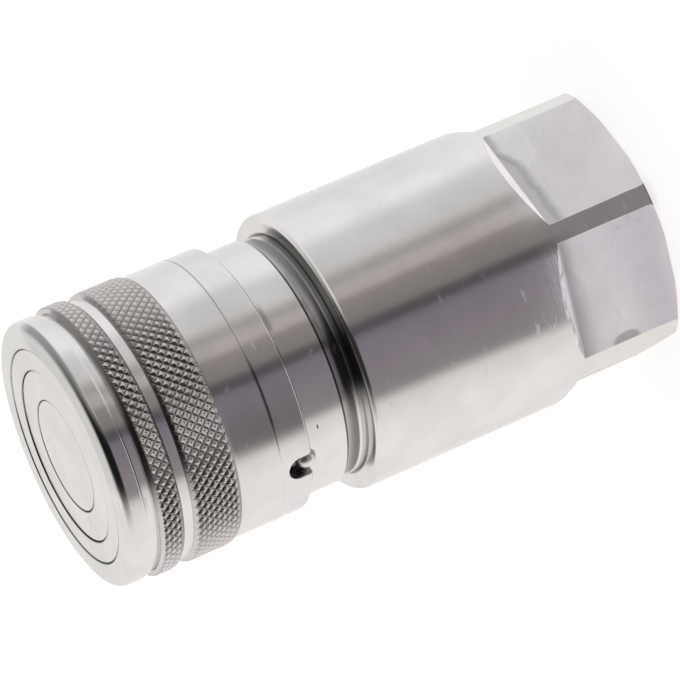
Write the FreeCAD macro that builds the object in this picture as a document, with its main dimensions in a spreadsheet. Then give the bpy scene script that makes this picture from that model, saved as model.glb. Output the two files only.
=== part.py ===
import FreeCAD, Part
import math
import os
import re

import Sketcher

# Flat face hydraulic quick coupling, female half, drawn with no plug in it.
# The axis is +Z: the port end stands on z = 0 and the flat mating face looks up.
# Lengths are millimetres. A name that ends in _depth is a distance behind the flat face.

doc = FreeCAD.newDocument("flat_face_coupling")

DIMENSIONS = {
    # whole coupling
    "overall_length": 84.5,
    "body_radius": 20.0,
    "edge_break": 0.2,
    "face_edge_break": 0.06,
    "running_gap": 0.1,
    "cutter_overrun": 1.0,
    # rear adapter: lip, wrench flats and port
    "lip_depth": 36.6,
    "lip_round": 0.7,
    "mouth_radius": 17.55,
    "mouth_length": 1.3,
    "flats_across": 36.0,
    "flats_length": 15.65,
    "flats_runout": 2.0,
    "flats_count": 6,
    "rear_edge_radius": 18.2,
    "rear_chamfer_length": 0.84,
    "port_radius": 10.478,
    "port_length": 17.0,
    "port_chamfer": 0.7,
    "nut_chamber_radius": 12.5,
    # joint between the two turned halves
    "spigot_radius": 17.1,
    "spigot_depth": 37.85,
    "spigot_end_depth": 41.9,
    "tail_radius": 16.5,
    "tail_depth": 50.3,
    "tail_chamfer": 0.5,
    "joint_groove_depth": 38.5,
    "joint_groove_width": 2.6,
    "joint_groove_radius": 15.55,
    # front body: ball cage, flange, collar, neck and shoulder
    "cage_radius": 15.33,
    "cage_face_depth": 0.1,
    "flange_depth": 17.5,
    "flange_width": 1.2,
    "relief_radius": 16.3,
    "collar_radius": 17.65,
    "collar_front_depth": 24.6,
    "collar_rear_depth": 33.76,
    "collar_chamfer": 0.3,
    "collar_rear_chamfer": 0.45,
    "neck_radius": 16.6,
    "neck_round": 1.7,
    "shoulder_radius": 17.25,
    "shoulder_depth": 35.7,
    "shoulder_round": 0.4,
    "valve_room_radius": 14.2,
    "valve_stop_depth": 20.0,
    "plug_groove_depth": 10.4,
    "plug_groove_width": 3.2,
    "plug_groove_radius": 13.85,
    # locking balls and the safety ball
    "ball_radius": 2.25,
    "ball_circle_radius": 14.55,
    "ball_depth": 6.0,
    "ball_count": 12,
    "ball_hole_gap": 0.05,
    "ball_seat_radius": 2.12,
    "ball_seat_height": 0.5,
    "safety_ball_radius": 1.5,
    "safety_ball_circle": 17.4,
    "safety_ball_depth": 27.0,
    "notch_bearing": -140.65,
    # locking sleeve, outside
    "sleeve_radius": 19.0,
    "sleeve_rear_depth": 27.41,
    "sleeve_rear_chamfer": 0.3,
    "nose_round": 1.4,
    "nose_land_depth": 2.9,
    "nose_cone_depth": 4.2,
    "nose_cone_radius": 18.6,
    "nose_groove_radius": 18.3,
    "knurl_radius": 19.12,
    "front_knurl_depth": 4.6,
    "front_knurl_end": 7.85,
    "grip_groove_radius": 18.65,
    "rear_knurl_depth": 9.57,
    "rear_knurl_end": 16.23,
    "turned_line_depth": 22.85,
    "turned_line_half": 0.25,
    "turned_line_cut": 0.1,
    "notch_half_width": 1.8,
    "notch_centre_depth": 25.66,
    # locking sleeve, inside
    "release_radius": 17.0,
    "release_depth": 2.2,
    "ramp_depth": 6.82,
    "ramp_length": 1.57,
    "sleeve_shoulder_depth": 11.2,
    "stop_groove_radius": 18.02,
    "stop_ring_depth": 22.4,
    "stop_ring_circle": 17.5,
    "stop_wire_radius": 0.47,
    "stop_ring_angle": 344,
    "thrust_washer_width": 0.8,
    # valve sleeve and stem
    "valve_radius": 12.25,
    "valve_face_depth": 0.25,
    "valve_lip_depth": 5.6,
    "valve_cone_length": 2.5,
    "valve_bore_radius": 10.5,
    "valve_flange_radius": 14.1,
    "valve_flange_width": 2.5,
    "stem_head_radius": 7.95,
    "stem_face_depth": 0.3,
    "stem_head_depth": 5.2,
    "stem_taper_depth": 9.5,
    "stem_shank_radius": 4.6,
    "stem_thread_radius": 4.0,
    "stem_end_depth": 63.9,
    "stem_end_chamfer": 0.8,
    "stem_groove_depth": 1.8,
    "stem_groove_width": 2.4,
    "stem_groove_radius": 6.55,
    # spider, washer and nut on the stem's tail
    "spider_radius": 15.5,
    "spider_width": 4.8,
    "spider_hole_radius": 2.5,
    "spider_hole_circle": 9.7,
    "spider_hole_count": 6,
    "lock_washer_inner": 4.15,
    "lock_washer_outer": 6.6,
    "lock_washer_width": 1.6,
    "lock_washer_angle": 350,
    "nut_across": 13.0,
    "nut_corner_radius": 7.505,
    "nut_width": 6.5,
    "nut_chamfer_width": 1.0,
    "nut_chamfer_height": 0.6,
    # springs
    "sleeve_wire_radius": 0.55,
    "sleeve_coil_radius": 16.55,
    "sleeve_coil_turns": 3,
    "valve_wire_radius": 0.9,
    "valve_coil_radius": 12.6,
    "valve_coil_turns": 6,
    # seals
    "stem_seal_radius": 0.67,
    "plug_seal_radius": 0.75,
    "joint_seal_radius": 0.79,
    "seal_gap": 0.04,
}

sheet = doc.addObject("Spreadsheet::Sheet", "Dims")
for row, (name, size) in enumerate(DIMENSIONS.items(), start=1):
    sheet.set(f"A{row}", name.replace("_", " "))
    sheet.set(f"B{row}", str(size))
    sheet.setAlias(f"B{row}", name)
doc.recompute()

pieces = []


def cells(formula):
    """The formula with each dimension's name turned into a reference to its cell of the sheet."""
    return re.sub(r"[a-z][a-z_]*", lambda name: "Dims." + name.group(), formula)


def size_of(formula):
    """The formula's value in millimetres, degrees or pieces."""
    return float(sheet.evalExpression(cells(formula)))


def behind(depth):
    """The height of a point that lies this far behind the flat face."""
    return f"overall_length - ({depth})"


def bind(thing, prop, formula):
    """Bind one property of a document object to the sheet."""
    thing.setExpression(prop, cells(formula))


def origin_part(body, role):
    """One of the body's own origin planes or axes."""
    return next(part for part in body.Origin.OriginFeatures if part.Role == role)


def new_body(label):
    body = doc.addObject("PartDesign::Body", label)
    body.Label = label
    pieces.append(body)
    return body


def new_sketch(body, name, role="XZ_Plane"):
    """A sketch on one of the body's origin planes; on XZ_Plane it draws radius against height."""
    sketch = body.newObject("Sketcher::SketchObject", name)
    sketch.AttachmentSupport = [(origin_part(body, role), "")]
    sketch.MapMode = "FlatFace"
    return sketch


def hold(sketch, kind, line, point, formula):
    """Fix one coordinate of a line's end or a circle's centre; a zero lies on the sketch's own axis."""
    distance = size_of(formula)
    if abs(distance) < 1e-9:
        axis = -2 if kind == "DistanceX" else -1
        sketch.addConstraint(Sketcher.Constraint("PointOnObject", line, point, axis))
        return
    number = sketch.addConstraint(Sketcher.Constraint(kind, -1, 1, line, point, distance))
    sketch.setExpression(f"Constraints[{number}]", cells(formula))


def draw_outline(sketch, corners):
    """A closed outline of straight lines through corners given as pairs of formulas."""
    points = [FreeCAD.Vector(size_of(across), size_of(up), 0) for across, up in corners]
    count = len(points)
    for i in range(count):
        sketch.addGeometry(Part.LineSegment(points[i], points[(i + 1) % count]))
    for i in range(count):
        sketch.addConstraint(Sketcher.Constraint("Coincident", i, 2, (i + 1) % count, 1))
    for i, (across, up) in enumerate(corners):
        hold(sketch, "DistanceX", i, 1, across)
        hold(sketch, "DistanceY", i, 1, up)


def draw_circle(sketch, across, up, radius):
    """A circle about a centre given as a pair of formulas."""
    centre = FreeCAD.Vector(size_of(across), size_of(up), 0)
    line = sketch.addGeometry(Part.Circle(centre, FreeCAD.Vector(0, 0, 1), size_of(radius)))
    hold(sketch, "DistanceX", line, 3, across)
    hold(sketch, "DistanceY", line, 3, up)
    number = sketch.addConstraint(Sketcher.Constraint("Radius", line, size_of(radius)))
    sketch.setExpression(f"Constraints[{number}]", cells(radius))
    return line


def turn(body, sketch, angle="360"):
    """Revolve a profile about the coupling's axis."""
    turned = body.newObject("PartDesign::Revolution", sketch.Name + "_turned")
    turned.Profile = sketch
    turned.ReferenceAxis = (sketch, ["V_Axis"])
    bind(turned, "Angle", angle)
    doc.recompute()
    return turned


def turned_piece(label, corners, angle="360"):
    """A lathe-turned piece from the corners of its half section."""
    body = new_body(label)
    sketch = new_sketch(body, label + "_section")
    draw_outline(sketch, corners)
    turn(body, sketch, angle)
    return body


def removes(body, feature):
    """Check that a cut really took something off the body."""
    before = feature.BaseFeature.Shape.Volume
    doc.recompute()
    if not feature.Shape.Volume < before - 1e-3:
        raise RuntimeError(f"{feature.Name} cuts nothing from {body.Label}")


def radial_hole(body, name, corners, height):
    """A round hole with its axis along +X at the given height, from (distance, radius) corners."""
    sketch = new_sketch(body, name + "_section")
    draw_outline(sketch, [(out, f"{height} + {radius}") for out, radius in corners])
    far = size_of(corners[0][0])
    near = size_of(corners[-1][0])
    level = size_of(height)
    axis = sketch.addGeometry(
        Part.LineSegment(FreeCAD.Vector(near, level, 0), FreeCAD.Vector(far, level, 0)), True
    )
    for point, out in ((1, corners[-1][0]), (2, corners[0][0])):
        hold(sketch, "DistanceX", axis, point, out)
        hold(sketch, "DistanceY", axis, point, height)
    hole = body.newObject("PartDesign::Groove", name)
    hole.Profile = sketch
    hole.ReferenceAxis = (sketch, ["Axis0"])
    hole.Angle = 360
    removes(body, hole)
    return hole


def repeat_round(body, feature, name, count):
    """Repeat a feature evenly round the coupling's axis."""
    ring = body.newObject("PartDesign::PolarPattern", name)
    ring.Originals = [feature]
    ring.Axis = (origin_part(body, "Z_Axis"), [""])
    ring.Angle = 360
    bind(ring, "Occurrences", count)
    body.Tip = ring
    doc.recompute()
    return ring


def round_edge(body, name, radius, height, size):
    """Round the circular edge of that radius at that height, an outside or an inside one."""
    base = body.Tip
    found = [
        f"Edge{number}"
        for number, edge in enumerate(base.Shape.Edges, start=1)
        if isinstance(edge.Curve, Part.Circle)
        and abs(edge.Curve.Radius - size_of(radius)) < 1e-6
        and abs(edge.Curve.Center.z - size_of(height)) < 1e-6
    ]
    rounded = body.newObject("PartDesign::Fillet", name)
    rounded.Base = (base, found)
    bind(rounded, "Radius", size)
    doc.recompute()
    if abs(rounded.Shape.Volume - base.Shape.Volume) < 1e-3:
        raise RuntimeError(f"{name} changes nothing on {body.Label}")


def face_bearing(body):
    """Turn a piece so that its +X side looks at the safety ball."""
    body.Placement = FreeCAD.Placement(FreeCAD.Vector(), FreeCAD.Vector(0, 0, 1), size_of("notch_bearing"))
    bind(body, "Placement.Rotation.Angle", "notch_bearing")


def rear_adapter():
    """The big turned half: lip, joint thread, spider seat, nut chamber, port and six wrench flats."""
    seat = "tail_depth + spider_width"
    body = turned_piece("rear_adapter", [
        ("port_radius + port_chamfer", "0"),
        ("rear_edge_radius", "0"),
        ("body_radius", "rear_chamfer_length"),
        ("body_radius", behind("lip_depth")),
        ("mouth_radius + edge_break", behind("lip_depth")),
        ("mouth_radius", behind("lip_depth + edge_break")),
        ("mouth_radius", behind("lip_depth + mouth_length")),
        ("spigot_radius + running_gap", behind("lip_depth + mouth_length")),
        ("spigot_radius + running_gap", behind("spigot_end_depth + running_gap")),
        ("tail_radius + running_gap", behind("spigot_end_depth + 2 * edge_break + running_gap")),
        ("tail_radius + running_gap", behind("tail_depth + edge_break")),
        ("spider_radius + running_gap", behind("tail_depth + edge_break")),
        ("spider_radius + running_gap", behind(seat)),
        ("nut_chamber_radius", behind(seat)),
        ("nut_chamber_radius", "port_length + nut_chamber_radius - port_radius"),
        ("port_radius", "port_length"),
        ("port_radius", "port_chamfer"),
    ])
    round_edge(body, "lip_rounded", "body_radius", behind("lip_depth"), "lip_round")

    # A flat is milled square across, and its front wall leans forwards as it rises to the round body.
    lean = "flats_runout / (body_radius - flats_across / 2)"
    cutter = "body_radius + cutter_overrun"
    sketch = new_sketch(body, "flat_section")
    draw_outline(sketch, [
        ("flats_across / 2", "0 - edge_break"),
        (cutter, "0 - edge_break"),
        (cutter, f"flats_length + {lean} * ({cutter} - flats_across / 2)"),
        ("flats_across / 2", "flats_length"),
    ])
    flat = body.newObject("PartDesign::Pocket", "wrench_flat")
    flat.Profile = sketch
    flat.SideType = "Symmetric"
    bind(flat, "Length", "2 * body_radius")
    removes(body, flat)
    repeat_round(body, flat, "wrench_flats", "flats_count")


def front_body():
    """Ball cage, flange, collar, neck, shoulder, sealed spigot and threaded tail, turned from one bar."""
    plug_groove_end = "plug_groove_depth + plug_groove_width"
    joint_groove_end = "joint_groove_depth + joint_groove_width"
    flare_depth = "shoulder_depth - (shoulder_radius - neck_radius)"
    body = turned_piece("front_body", [
        ("valve_radius + running_gap + face_edge_break", behind("cage_face_depth")),
        ("cage_radius - face_edge_break", behind("cage_face_depth")),
        ("cage_radius", behind("cage_face_depth + face_edge_break")),
        ("cage_radius", behind("flange_depth")),
        ("collar_radius", behind("flange_depth")),
        ("collar_radius", behind("flange_depth + flange_width")),
        ("relief_radius", behind("flange_depth + flange_width")),
        ("relief_radius", behind("collar_front_depth")),
        ("collar_radius - collar_chamfer", behind("collar_front_depth")),
        ("collar_radius", behind("collar_front_depth + collar_chamfer")),
        ("collar_radius", behind("collar_rear_depth - collar_rear_chamfer")),
        ("collar_radius - collar_rear_chamfer", behind("collar_rear_depth")),
        ("neck_radius", behind("collar_rear_depth")),
        ("neck_radius", behind(flare_depth)),
        ("shoulder_radius", behind("shoulder_depth")),
        ("shoulder_radius", behind("spigot_depth")),
        ("spigot_radius", behind("spigot_depth")),
        ("spigot_radius", behind("joint_groove_depth")),
        ("joint_groove_radius", behind("joint_groove_depth")),
        ("joint_groove_radius", behind(joint_groove_end)),
        ("spigot_radius", behind(joint_groove_end)),
        ("spigot_radius", behind("spigot_end_depth")),
        ("tail_radius", behind("spigot_end_depth + edge_break")),
        ("tail_radius", behind("tail_depth - tail_chamfer")),
        ("tail_radius - tail_chamfer", behind("tail_depth")),
        ("valve_room_radius", behind("tail_depth")),
        ("valve_room_radius", behind("valve_stop_depth")),
        ("valve_radius + running_gap", behind("valve_stop_depth")),
        ("valve_radius + running_gap", behind(plug_groove_end)),
        ("plug_groove_radius", behind(plug_groove_end)),
        ("plug_groove_radius", behind("plug_groove_depth")),
        ("valve_radius + running_gap", behind("plug_groove_depth")),
        ("valve_radius + running_gap", behind("cage_face_depth + face_edge_break")),
    ])
    round_edge(body, "neck_rounded", "neck_radius", behind(flare_depth), "neck_round")
    round_edge(body, "shoulder_rounded", "shoulder_radius", behind("shoulder_depth"), "shoulder_round")

    # Each ball hole narrows at the bore, so that a ball can't drop through.
    seat = "valve_radius + running_gap"
    hole = radial_hole(body, "ball_hole", [
        ("cage_radius + cutter_overrun", "0"),
        ("cage_radius + cutter_overrun", "ball_radius + ball_hole_gap"),
        (f"{seat} + ball_seat_height", "ball_radius + ball_hole_gap"),
        (seat, "ball_seat_radius"),
        (f"{seat} - cutter_overrun", "ball_seat_radius"),
        (f"{seat} - cutter_overrun", "0"),
    ], behind("ball_depth"))
    repeat_round(body, hole, "ball_holes", "ball_count")
    pit = "safety_ball_circle - safety_ball_radius - ball_hole_gap"
    radial_hole(body, "safety_ball_hole", [
        ("collar_radius + cutter_overrun", "0"),
        ("collar_radius + cutter_overrun", "safety_ball_radius + ball_hole_gap"),
        (pit, "safety_ball_radius + ball_hole_gap"),
        (pit, "0"),
    ], behind("safety_ball_depth"))
    face_bearing(body)


def locking_sleeve():
    """Knurled sleeve: release groove, ramp and locking land for the balls, spring room, rear notch."""
    land_radius = "cage_radius + running_gap"
    skirt_radius = "collar_radius + running_gap"
    stop_half = "stop_wire_radius + ball_hole_gap"
    body = turned_piece("locking_sleeve", [
        (f"{land_radius} + face_edge_break", behind("0")),
        ("sleeve_radius", behind("0")),
        ("sleeve_radius", behind("nose_land_depth")),
        ("nose_cone_radius", behind("nose_cone_depth")),
        ("nose_groove_radius", behind("nose_cone_depth")),
        ("nose_groove_radius", behind("front_knurl_depth")),
        ("knurl_radius", behind("front_knurl_depth")),
        ("knurl_radius", behind("front_knurl_end")),
        ("grip_groove_radius", behind("front_knurl_end")),
        ("grip_groove_radius", behind("rear_knurl_depth")),
        ("knurl_radius", behind("rear_knurl_depth")),
        ("knurl_radius", behind("rear_knurl_end")),
        ("sleeve_radius", behind("rear_knurl_end")),
        ("sleeve_radius", behind("turned_line_depth - turned_line_half")),
        ("sleeve_radius - turned_line_cut", behind("turned_line_depth")),
        ("sleeve_radius", behind("turned_line_depth + turned_line_half")),
        ("sleeve_radius", behind("sleeve_rear_depth - sleeve_rear_chamfer")),
        ("sleeve_radius - sleeve_rear_chamfer", behind("sleeve_rear_depth")),
        (skirt_radius, behind("sleeve_rear_depth")),
        (skirt_radius, behind(f"stop_ring_depth + {stop_half}")),
        ("stop_groove_radius", behind(f"stop_ring_depth + {stop_half}")),
        ("stop_groove_radius", behind(f"stop_ring_depth - {stop_half}")),
        (skirt_radius, behind(f"stop_ring_depth - {stop_half}")),
        (skirt_radius, behind("sleeve_shoulder_depth")),
        (land_radius, behind("sleeve_shoulder_depth")),
        (land_radius, behind("ramp_depth + ramp_length")),
        ("release_radius", behind("ramp_depth")),
        ("release_radius", behind("release_depth")),
        (land_radius, behind("release_depth")),
        (land_radius, behind("face_edge_break")),
    ])
    round_edge(body, "nose_rounded", "sleeve_radius", behind("0"), "nose_round")

    # The notch has a round front end and is open at the sleeve's rear edge.
    sketch = new_sketch(body, "notch_outline", "YZ_Plane")
    notch_end = behind("sleeve_rear_depth + cutter_overrun")
    low = size_of(notch_end)
    high = size_of(behind("notch_centre_depth"))
    half = size_of("notch_half_width")
    corners = [FreeCAD.Vector(x, y, 0) for x, y in ((-half, high), (-half, low), (half, low), (half, high))]
    for start, end in zip(corners, corners[1:]):
        sketch.addGeometry(Part.LineSegment(start, end))
    middle = FreeCAD.Vector(0, high, 0)
    circle = Part.Circle(middle, FreeCAD.Vector(0, 0, 1), half)
    arc = sketch.addGeometry(Part.ArcOfCircle(circle, 0, math.pi))
    for line in (0, 1):
        sketch.addConstraint(Sketcher.Constraint("Coincident", line, 2, line + 1, 1))
    sketch.addConstraint(Sketcher.Constraint("Tangent", 2, 2, arc, 1))
    sketch.addConstraint(Sketcher.Constraint("Tangent", 0, 1, arc, 2))
    sketch.addConstraint(Sketcher.Constraint("Horizontal", 1))
    hold(sketch, "DistanceX", arc, 3, "0")
    hold(sketch, "DistanceY", arc, 3, behind("notch_centre_depth"))
    hold(sketch, "DistanceY", 1, 1, notch_end)
    number = sketch.addConstraint(Sketcher.Constraint("Radius", arc, half))
    sketch.setExpression(f"Constraints[{number}]", cells("notch_half_width"))
    notch = body.newObject("PartDesign::Pocket", "safety_notch")
    notch.Profile = sketch
    notch.Reversed = True
    bind(notch, "Length", "sleeve_radius + cutter_overrun")
    removes(body, notch)
    face_bearing(body)


def valve_sleeve():
    """Sliding ring of the flat face: a lip that closes on the stem, a tube and a stop flange."""
    flange = "valve_stop_depth + running_gap"
    turned_piece("valve_sleeve", [
        ("stem_head_radius + running_gap + face_edge_break", behind("valve_face_depth")),
        ("valve_radius - face_edge_break", behind("valve_face_depth")),
        ("valve_radius", behind("valve_face_depth + face_edge_break")),
        ("valve_radius", behind(flange)),
        ("valve_flange_radius", behind(flange)),
        ("valve_flange_radius", behind(f"{flange} + valve_flange_width")),
        ("valve_bore_radius", behind(f"{flange} + valve_flange_width")),
        ("valve_bore_radius", behind("valve_lip_depth + valve_cone_length")),
        ("stem_head_radius + running_gap", behind("valve_lip_depth")),
        ("stem_head_radius + running_gap", behind("valve_face_depth + face_edge_break")),
    ])


def valve_stem():
    """Fixed middle of the flat face: a head with a seal groove, a taper, a shank and a threaded tail."""
    groove_end = "stem_groove_depth + stem_groove_width"
    turned_piece("valve_stem", [
        ("0", behind("stem_face_depth")),
        ("stem_head_radius - face_edge_break", behind("stem_face_depth")),
        ("stem_head_radius", behind("stem_face_depth + face_edge_break")),
        ("stem_head_radius", behind("stem_groove_depth")),
        ("stem_groove_radius", behind("stem_groove_depth")),
        ("stem_groove_radius", behind(groove_end)),
        ("stem_head_radius", behind(groove_end)),
        ("stem_head_radius", behind("stem_head_depth")),
        ("stem_shank_radius", behind("stem_taper_depth")),
        ("stem_shank_radius", behind("tail_depth")),
        ("stem_thread_radius", behind("tail_depth")),
        ("stem_thread_radius", behind("stem_end_depth - stem_end_chamfer")),
        ("stem_thread_radius - stem_end_chamfer", behind("stem_end_depth")),
        ("0", behind("stem_end_depth")),
    ])


def stem_spider():
    """Disc clamped between the two halves, with the stem in its middle and flow holes round it."""
    body = turned_piece("stem_spider", [
        ("stem_thread_radius + ball_hole_gap", behind("tail_depth")),
        ("spider_radius - edge_break", behind("tail_depth")),
        ("spider_radius", behind("tail_depth + edge_break")),
        ("spider_radius", behind("tail_depth + spider_width")),
        ("stem_thread_radius + ball_hole_gap", behind("tail_depth + spider_width")),
    ])
    sketch = new_sketch(body, "flow_hole_outline", "XY_Plane")
    draw_circle(sketch, "spider_hole_circle", "0", "spider_hole_radius")
    hole = body.newObject("PartDesign::Pocket", "flow_hole")
    hole.Profile = sketch
    hole.Reversed = True
    bind(hole, "Length", "overall_length")
    removes(body, hole)
    repeat_round(body, hole, "flow_holes", "spider_hole_count")


def stem_nut():
    """Hexagon nut with chamfered corners on the stem's tail."""
    top = "tail_depth + spider_width + lock_washer_width + ball_hole_gap"
    rim = "nut_corner_radius - nut_chamfer_width"
    body = turned_piece("stem_nut", [
        ("stem_thread_radius + ball_hole_gap", behind(top)),
        (rim, behind(top)),
        ("nut_corner_radius", behind(f"{top} + nut_chamfer_height")),
        ("nut_corner_radius", behind(f"{top} + nut_width - nut_chamfer_height")),
        (rim, behind(f"{top} + nut_width")),
        ("stem_thread_radius + ball_hole_gap", behind(f"{top} + nut_width")),
    ])
    sketch = new_sketch(body, "nut_flat_outline", "XY_Plane")
    draw_outline(sketch, [
        ("nut_across / 2", "0 - nut_across"),
        ("nut_across", "0 - nut_across"),
        ("nut_across", "nut_across"),
        ("nut_across / 2", "nut_across"),
    ])
    flat = body.newObject("PartDesign::Pocket", "nut_flat")
    flat.Profile = sketch
    flat.Reversed = True
    bind(flat, "Length", "overall_length")
    removes(body, flat)
    repeat_round(body, flat, "nut_flats", "flats_count")


def flat_ring(label, inner, outer, front, width, angle="360"):
    """A plain ring of rectangular section, split where its angle is under a full turn."""
    turned_piece(label, [
        (inner, behind(front)),
        (outer, behind(front)),
        (outer, behind(f"{front} + {width}")),
        (inner, behind(f"{front} + {width}")),
    ], angle)


def wire_ring(label, circle, depth, wire, angle="360"):
    """A ring of round section, open where its angle is under a full turn."""
    body = new_body(label)
    sketch = new_sketch(body, label + "_section")
    draw_circle(sketch, circle, behind(depth), wire)
    turn(body, sketch, angle)
    return body


def coil_spring(label, coil_radius, wire, turns, front, rear):
    """A compression spring that reaches from its front depth to its rear depth."""
    body = new_body(label)
    sketch = new_sketch(body, label + "_section")
    draw_circle(sketch, coil_radius, behind(f"{rear} - {wire}"), wire)
    coil = body.newObject("PartDesign::AdditiveHelix", label + "_coil")
    coil.Profile = sketch
    coil.ReferenceAxis = (sketch, ["V_Axis"])
    coil.Mode = "height-turns-angle"
    bind(coil, "Height", f"{rear} - ({front}) - 2 * {wire}")
    bind(coil, "Turns", turns)
    doc.recompute()


def ball(name, radius, circle, depth, bearing):
    """A ball whose centre lies on a circle round the axis, at a bearing in degrees."""
    sphere = doc.addObject("Part::Sphere", name)
    angle = math.radians(bearing)
    bind(sphere, "Radius", radius)
    bind(sphere, "Placement.Base.x", f"{circle} * {math.cos(angle):.9f}")
    bind(sphere, "Placement.Base.y", f"{circle} * {math.sin(angle):.9f}")
    bind(sphere, "Placement.Base.z", behind(depth))
    return sphere


def balls():
    """The safety ball in the collar, and the ring of locking balls in the cage as one group."""
    bearing = size_of("notch_bearing")
    safety = ball("safety_ball", "safety_ball_radius", "safety_ball_circle", "safety_ball_depth", bearing)
    pieces.append(safety)
    count = int(size_of("ball_count"))
    step = 360 / count
    ring = [
        ball(f"locking_ball_{i}", "ball_radius", "ball_circle_radius", "ball_depth", bearing + step * i)
        for i in range(count)
    ]
    group = doc.addObject("Part::Compound", "locking_balls")
    group.Links = ring
    pieces.append(group)


def springs_and_rings():
    """Springs, the sleeve's washer and stop ring, the lock washer, and the three seals with backup rings."""
    washer = "sleeve_shoulder_depth + running_gap"
    flat_ring("spring_thrust_washer", "cage_radius + running_gap", "collar_radius", washer,
              "thrust_washer_width")
    coil_spring("sleeve_spring", "sleeve_coil_radius", "sleeve_wire_radius", "sleeve_coil_turns",
                f"{washer} + thrust_washer_width + seal_gap", "flange_depth")
    flange_rear = "valve_stop_depth + running_gap + valve_flange_width"
    coil_spring("valve_spring", "valve_coil_radius", "valve_wire_radius", "valve_coil_turns",
                f"{flange_rear} + seal_gap", "tail_depth")
    stop = wire_ring("sleeve_stop_ring", "stop_ring_circle", "stop_ring_depth", "stop_wire_radius",
                     "stop_ring_angle")
    face_bearing(stop)
    flat_ring("stem_lock_washer", "lock_washer_inner", "lock_washer_outer", "tail_depth + spider_width",
              "lock_washer_width", "lock_washer_angle")

    # Each groove holds the backup ring at its front, away from the pressure, and the seal behind it.
    grooves = {
        "stem": ("stem_groove_depth", "stem_groove_width", "stem_groove_radius",
                 "stem_head_radius + running_gap", "stem_seal_radius"),
        "plug": ("plug_groove_depth", "plug_groove_width", "valve_radius",
                 "plug_groove_radius", "plug_seal_radius"),
        "body": ("joint_groove_depth", "joint_groove_width", "joint_groove_radius",
                 "spigot_radius + running_gap", "joint_seal_radius"),
    }
    seal_names = {"stem": "stem_seal", "plug": "plug_seal", "body": "body_o_ring"}
    for place, (front, width, inner, outer, seal) in grooves.items():
        rear = f"{front} + {width} - seal_gap"
        wire_ring(seal_names[place], f"({inner} + {outer}) / 2", f"{rear} - {seal}", seal)
        flat_ring(f"{place}_backup_ring", f"{inner} + seal_gap", f"{outer} - seal_gap", f"{front} + seal_gap",
                  f"{width} - 3 * seal_gap - 2 * {seal}")


rear_adapter()
front_body()
locking_sleeve()
valve_sleeve()
valve_stem()
stem_spider()
stem_nut()
balls()
springs_and_rings()
doc.recompute()

for thing in doc.Objects:
    if "Invalid" in thing.State or "Error" in thing.State:
        raise RuntimeError(f"{thing.Name} failed to build: {thing.State}")
for piece in pieces:
    if piece.Shape.isNull() or not piece.Shape.isValid() or not piece.Shape.Solids:
        raise RuntimeError(f"{piece.Label} has no valid solid")

os.makedirs("parts", exist_ok=True)
for piece in pieces:
    piece.Shape.exportStep(f"parts/{piece.Label}.step")
    print(f"{piece.Label}: {piece.Shape.Volume:.1f} mm3, {len(piece.Shape.Solids)} solid(s)")
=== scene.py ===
# %% [markdown]
# # A flat face quick coupling in turned steel
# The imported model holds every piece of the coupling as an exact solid, standing on its port with the
# flat mating face up. Its triangles are shaded flat, which shows on bright round metal, and the knurl
# and the port thread are too fine for a solid. This lesson keeps the frame as it is and builds smooth
# skins over the visible pieces, gives each piece its finish, and lights it as on a product table.

import bmesh
import bpy
import numpy as np
from mathutils import Matrix, Vector


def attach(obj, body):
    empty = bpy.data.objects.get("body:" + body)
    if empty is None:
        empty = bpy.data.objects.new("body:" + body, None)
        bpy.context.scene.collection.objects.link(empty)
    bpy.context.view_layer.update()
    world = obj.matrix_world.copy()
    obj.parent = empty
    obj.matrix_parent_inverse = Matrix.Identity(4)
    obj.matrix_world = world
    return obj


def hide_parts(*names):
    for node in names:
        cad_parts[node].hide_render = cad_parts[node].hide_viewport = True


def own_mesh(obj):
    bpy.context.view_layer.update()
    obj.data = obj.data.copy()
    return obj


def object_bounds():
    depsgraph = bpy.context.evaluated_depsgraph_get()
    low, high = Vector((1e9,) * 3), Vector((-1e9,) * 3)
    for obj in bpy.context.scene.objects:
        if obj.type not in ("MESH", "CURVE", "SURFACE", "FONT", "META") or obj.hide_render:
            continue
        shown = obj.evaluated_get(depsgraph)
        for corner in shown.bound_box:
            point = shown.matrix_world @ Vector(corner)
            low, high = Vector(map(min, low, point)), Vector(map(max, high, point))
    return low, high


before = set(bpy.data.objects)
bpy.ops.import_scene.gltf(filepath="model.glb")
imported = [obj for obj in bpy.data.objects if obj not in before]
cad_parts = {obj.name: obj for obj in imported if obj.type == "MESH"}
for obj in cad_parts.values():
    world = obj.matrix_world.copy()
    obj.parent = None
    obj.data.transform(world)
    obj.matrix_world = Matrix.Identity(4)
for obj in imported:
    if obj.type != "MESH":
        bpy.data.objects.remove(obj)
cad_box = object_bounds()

mm = 0.001
face_height = cad_box[1].z / mm
body_radius = cad_box[1].x / mm
print(f"coupling {face_height:.1f} mm long and {2 * body_radius:.1f} mm across, {len(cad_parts)} nodes")


def behind(depth):
    """Height of a point that lies this far behind the flat face, in mm."""
    return face_height - depth


# %% [markdown]
# ## From a grid of points to a piece
# A turned piece is one outline carried round the axis, so its points form a grid: one row for each
# point of the outline, one column for each bearing. Modelling by hand with the Spin tool would give the
# same points, but a grid of numbers can also carry flats, knurls and threads, because every radius may
# depend on the bearing. The helpers below join a grid with quads and hand it to Blender in one go.

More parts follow.
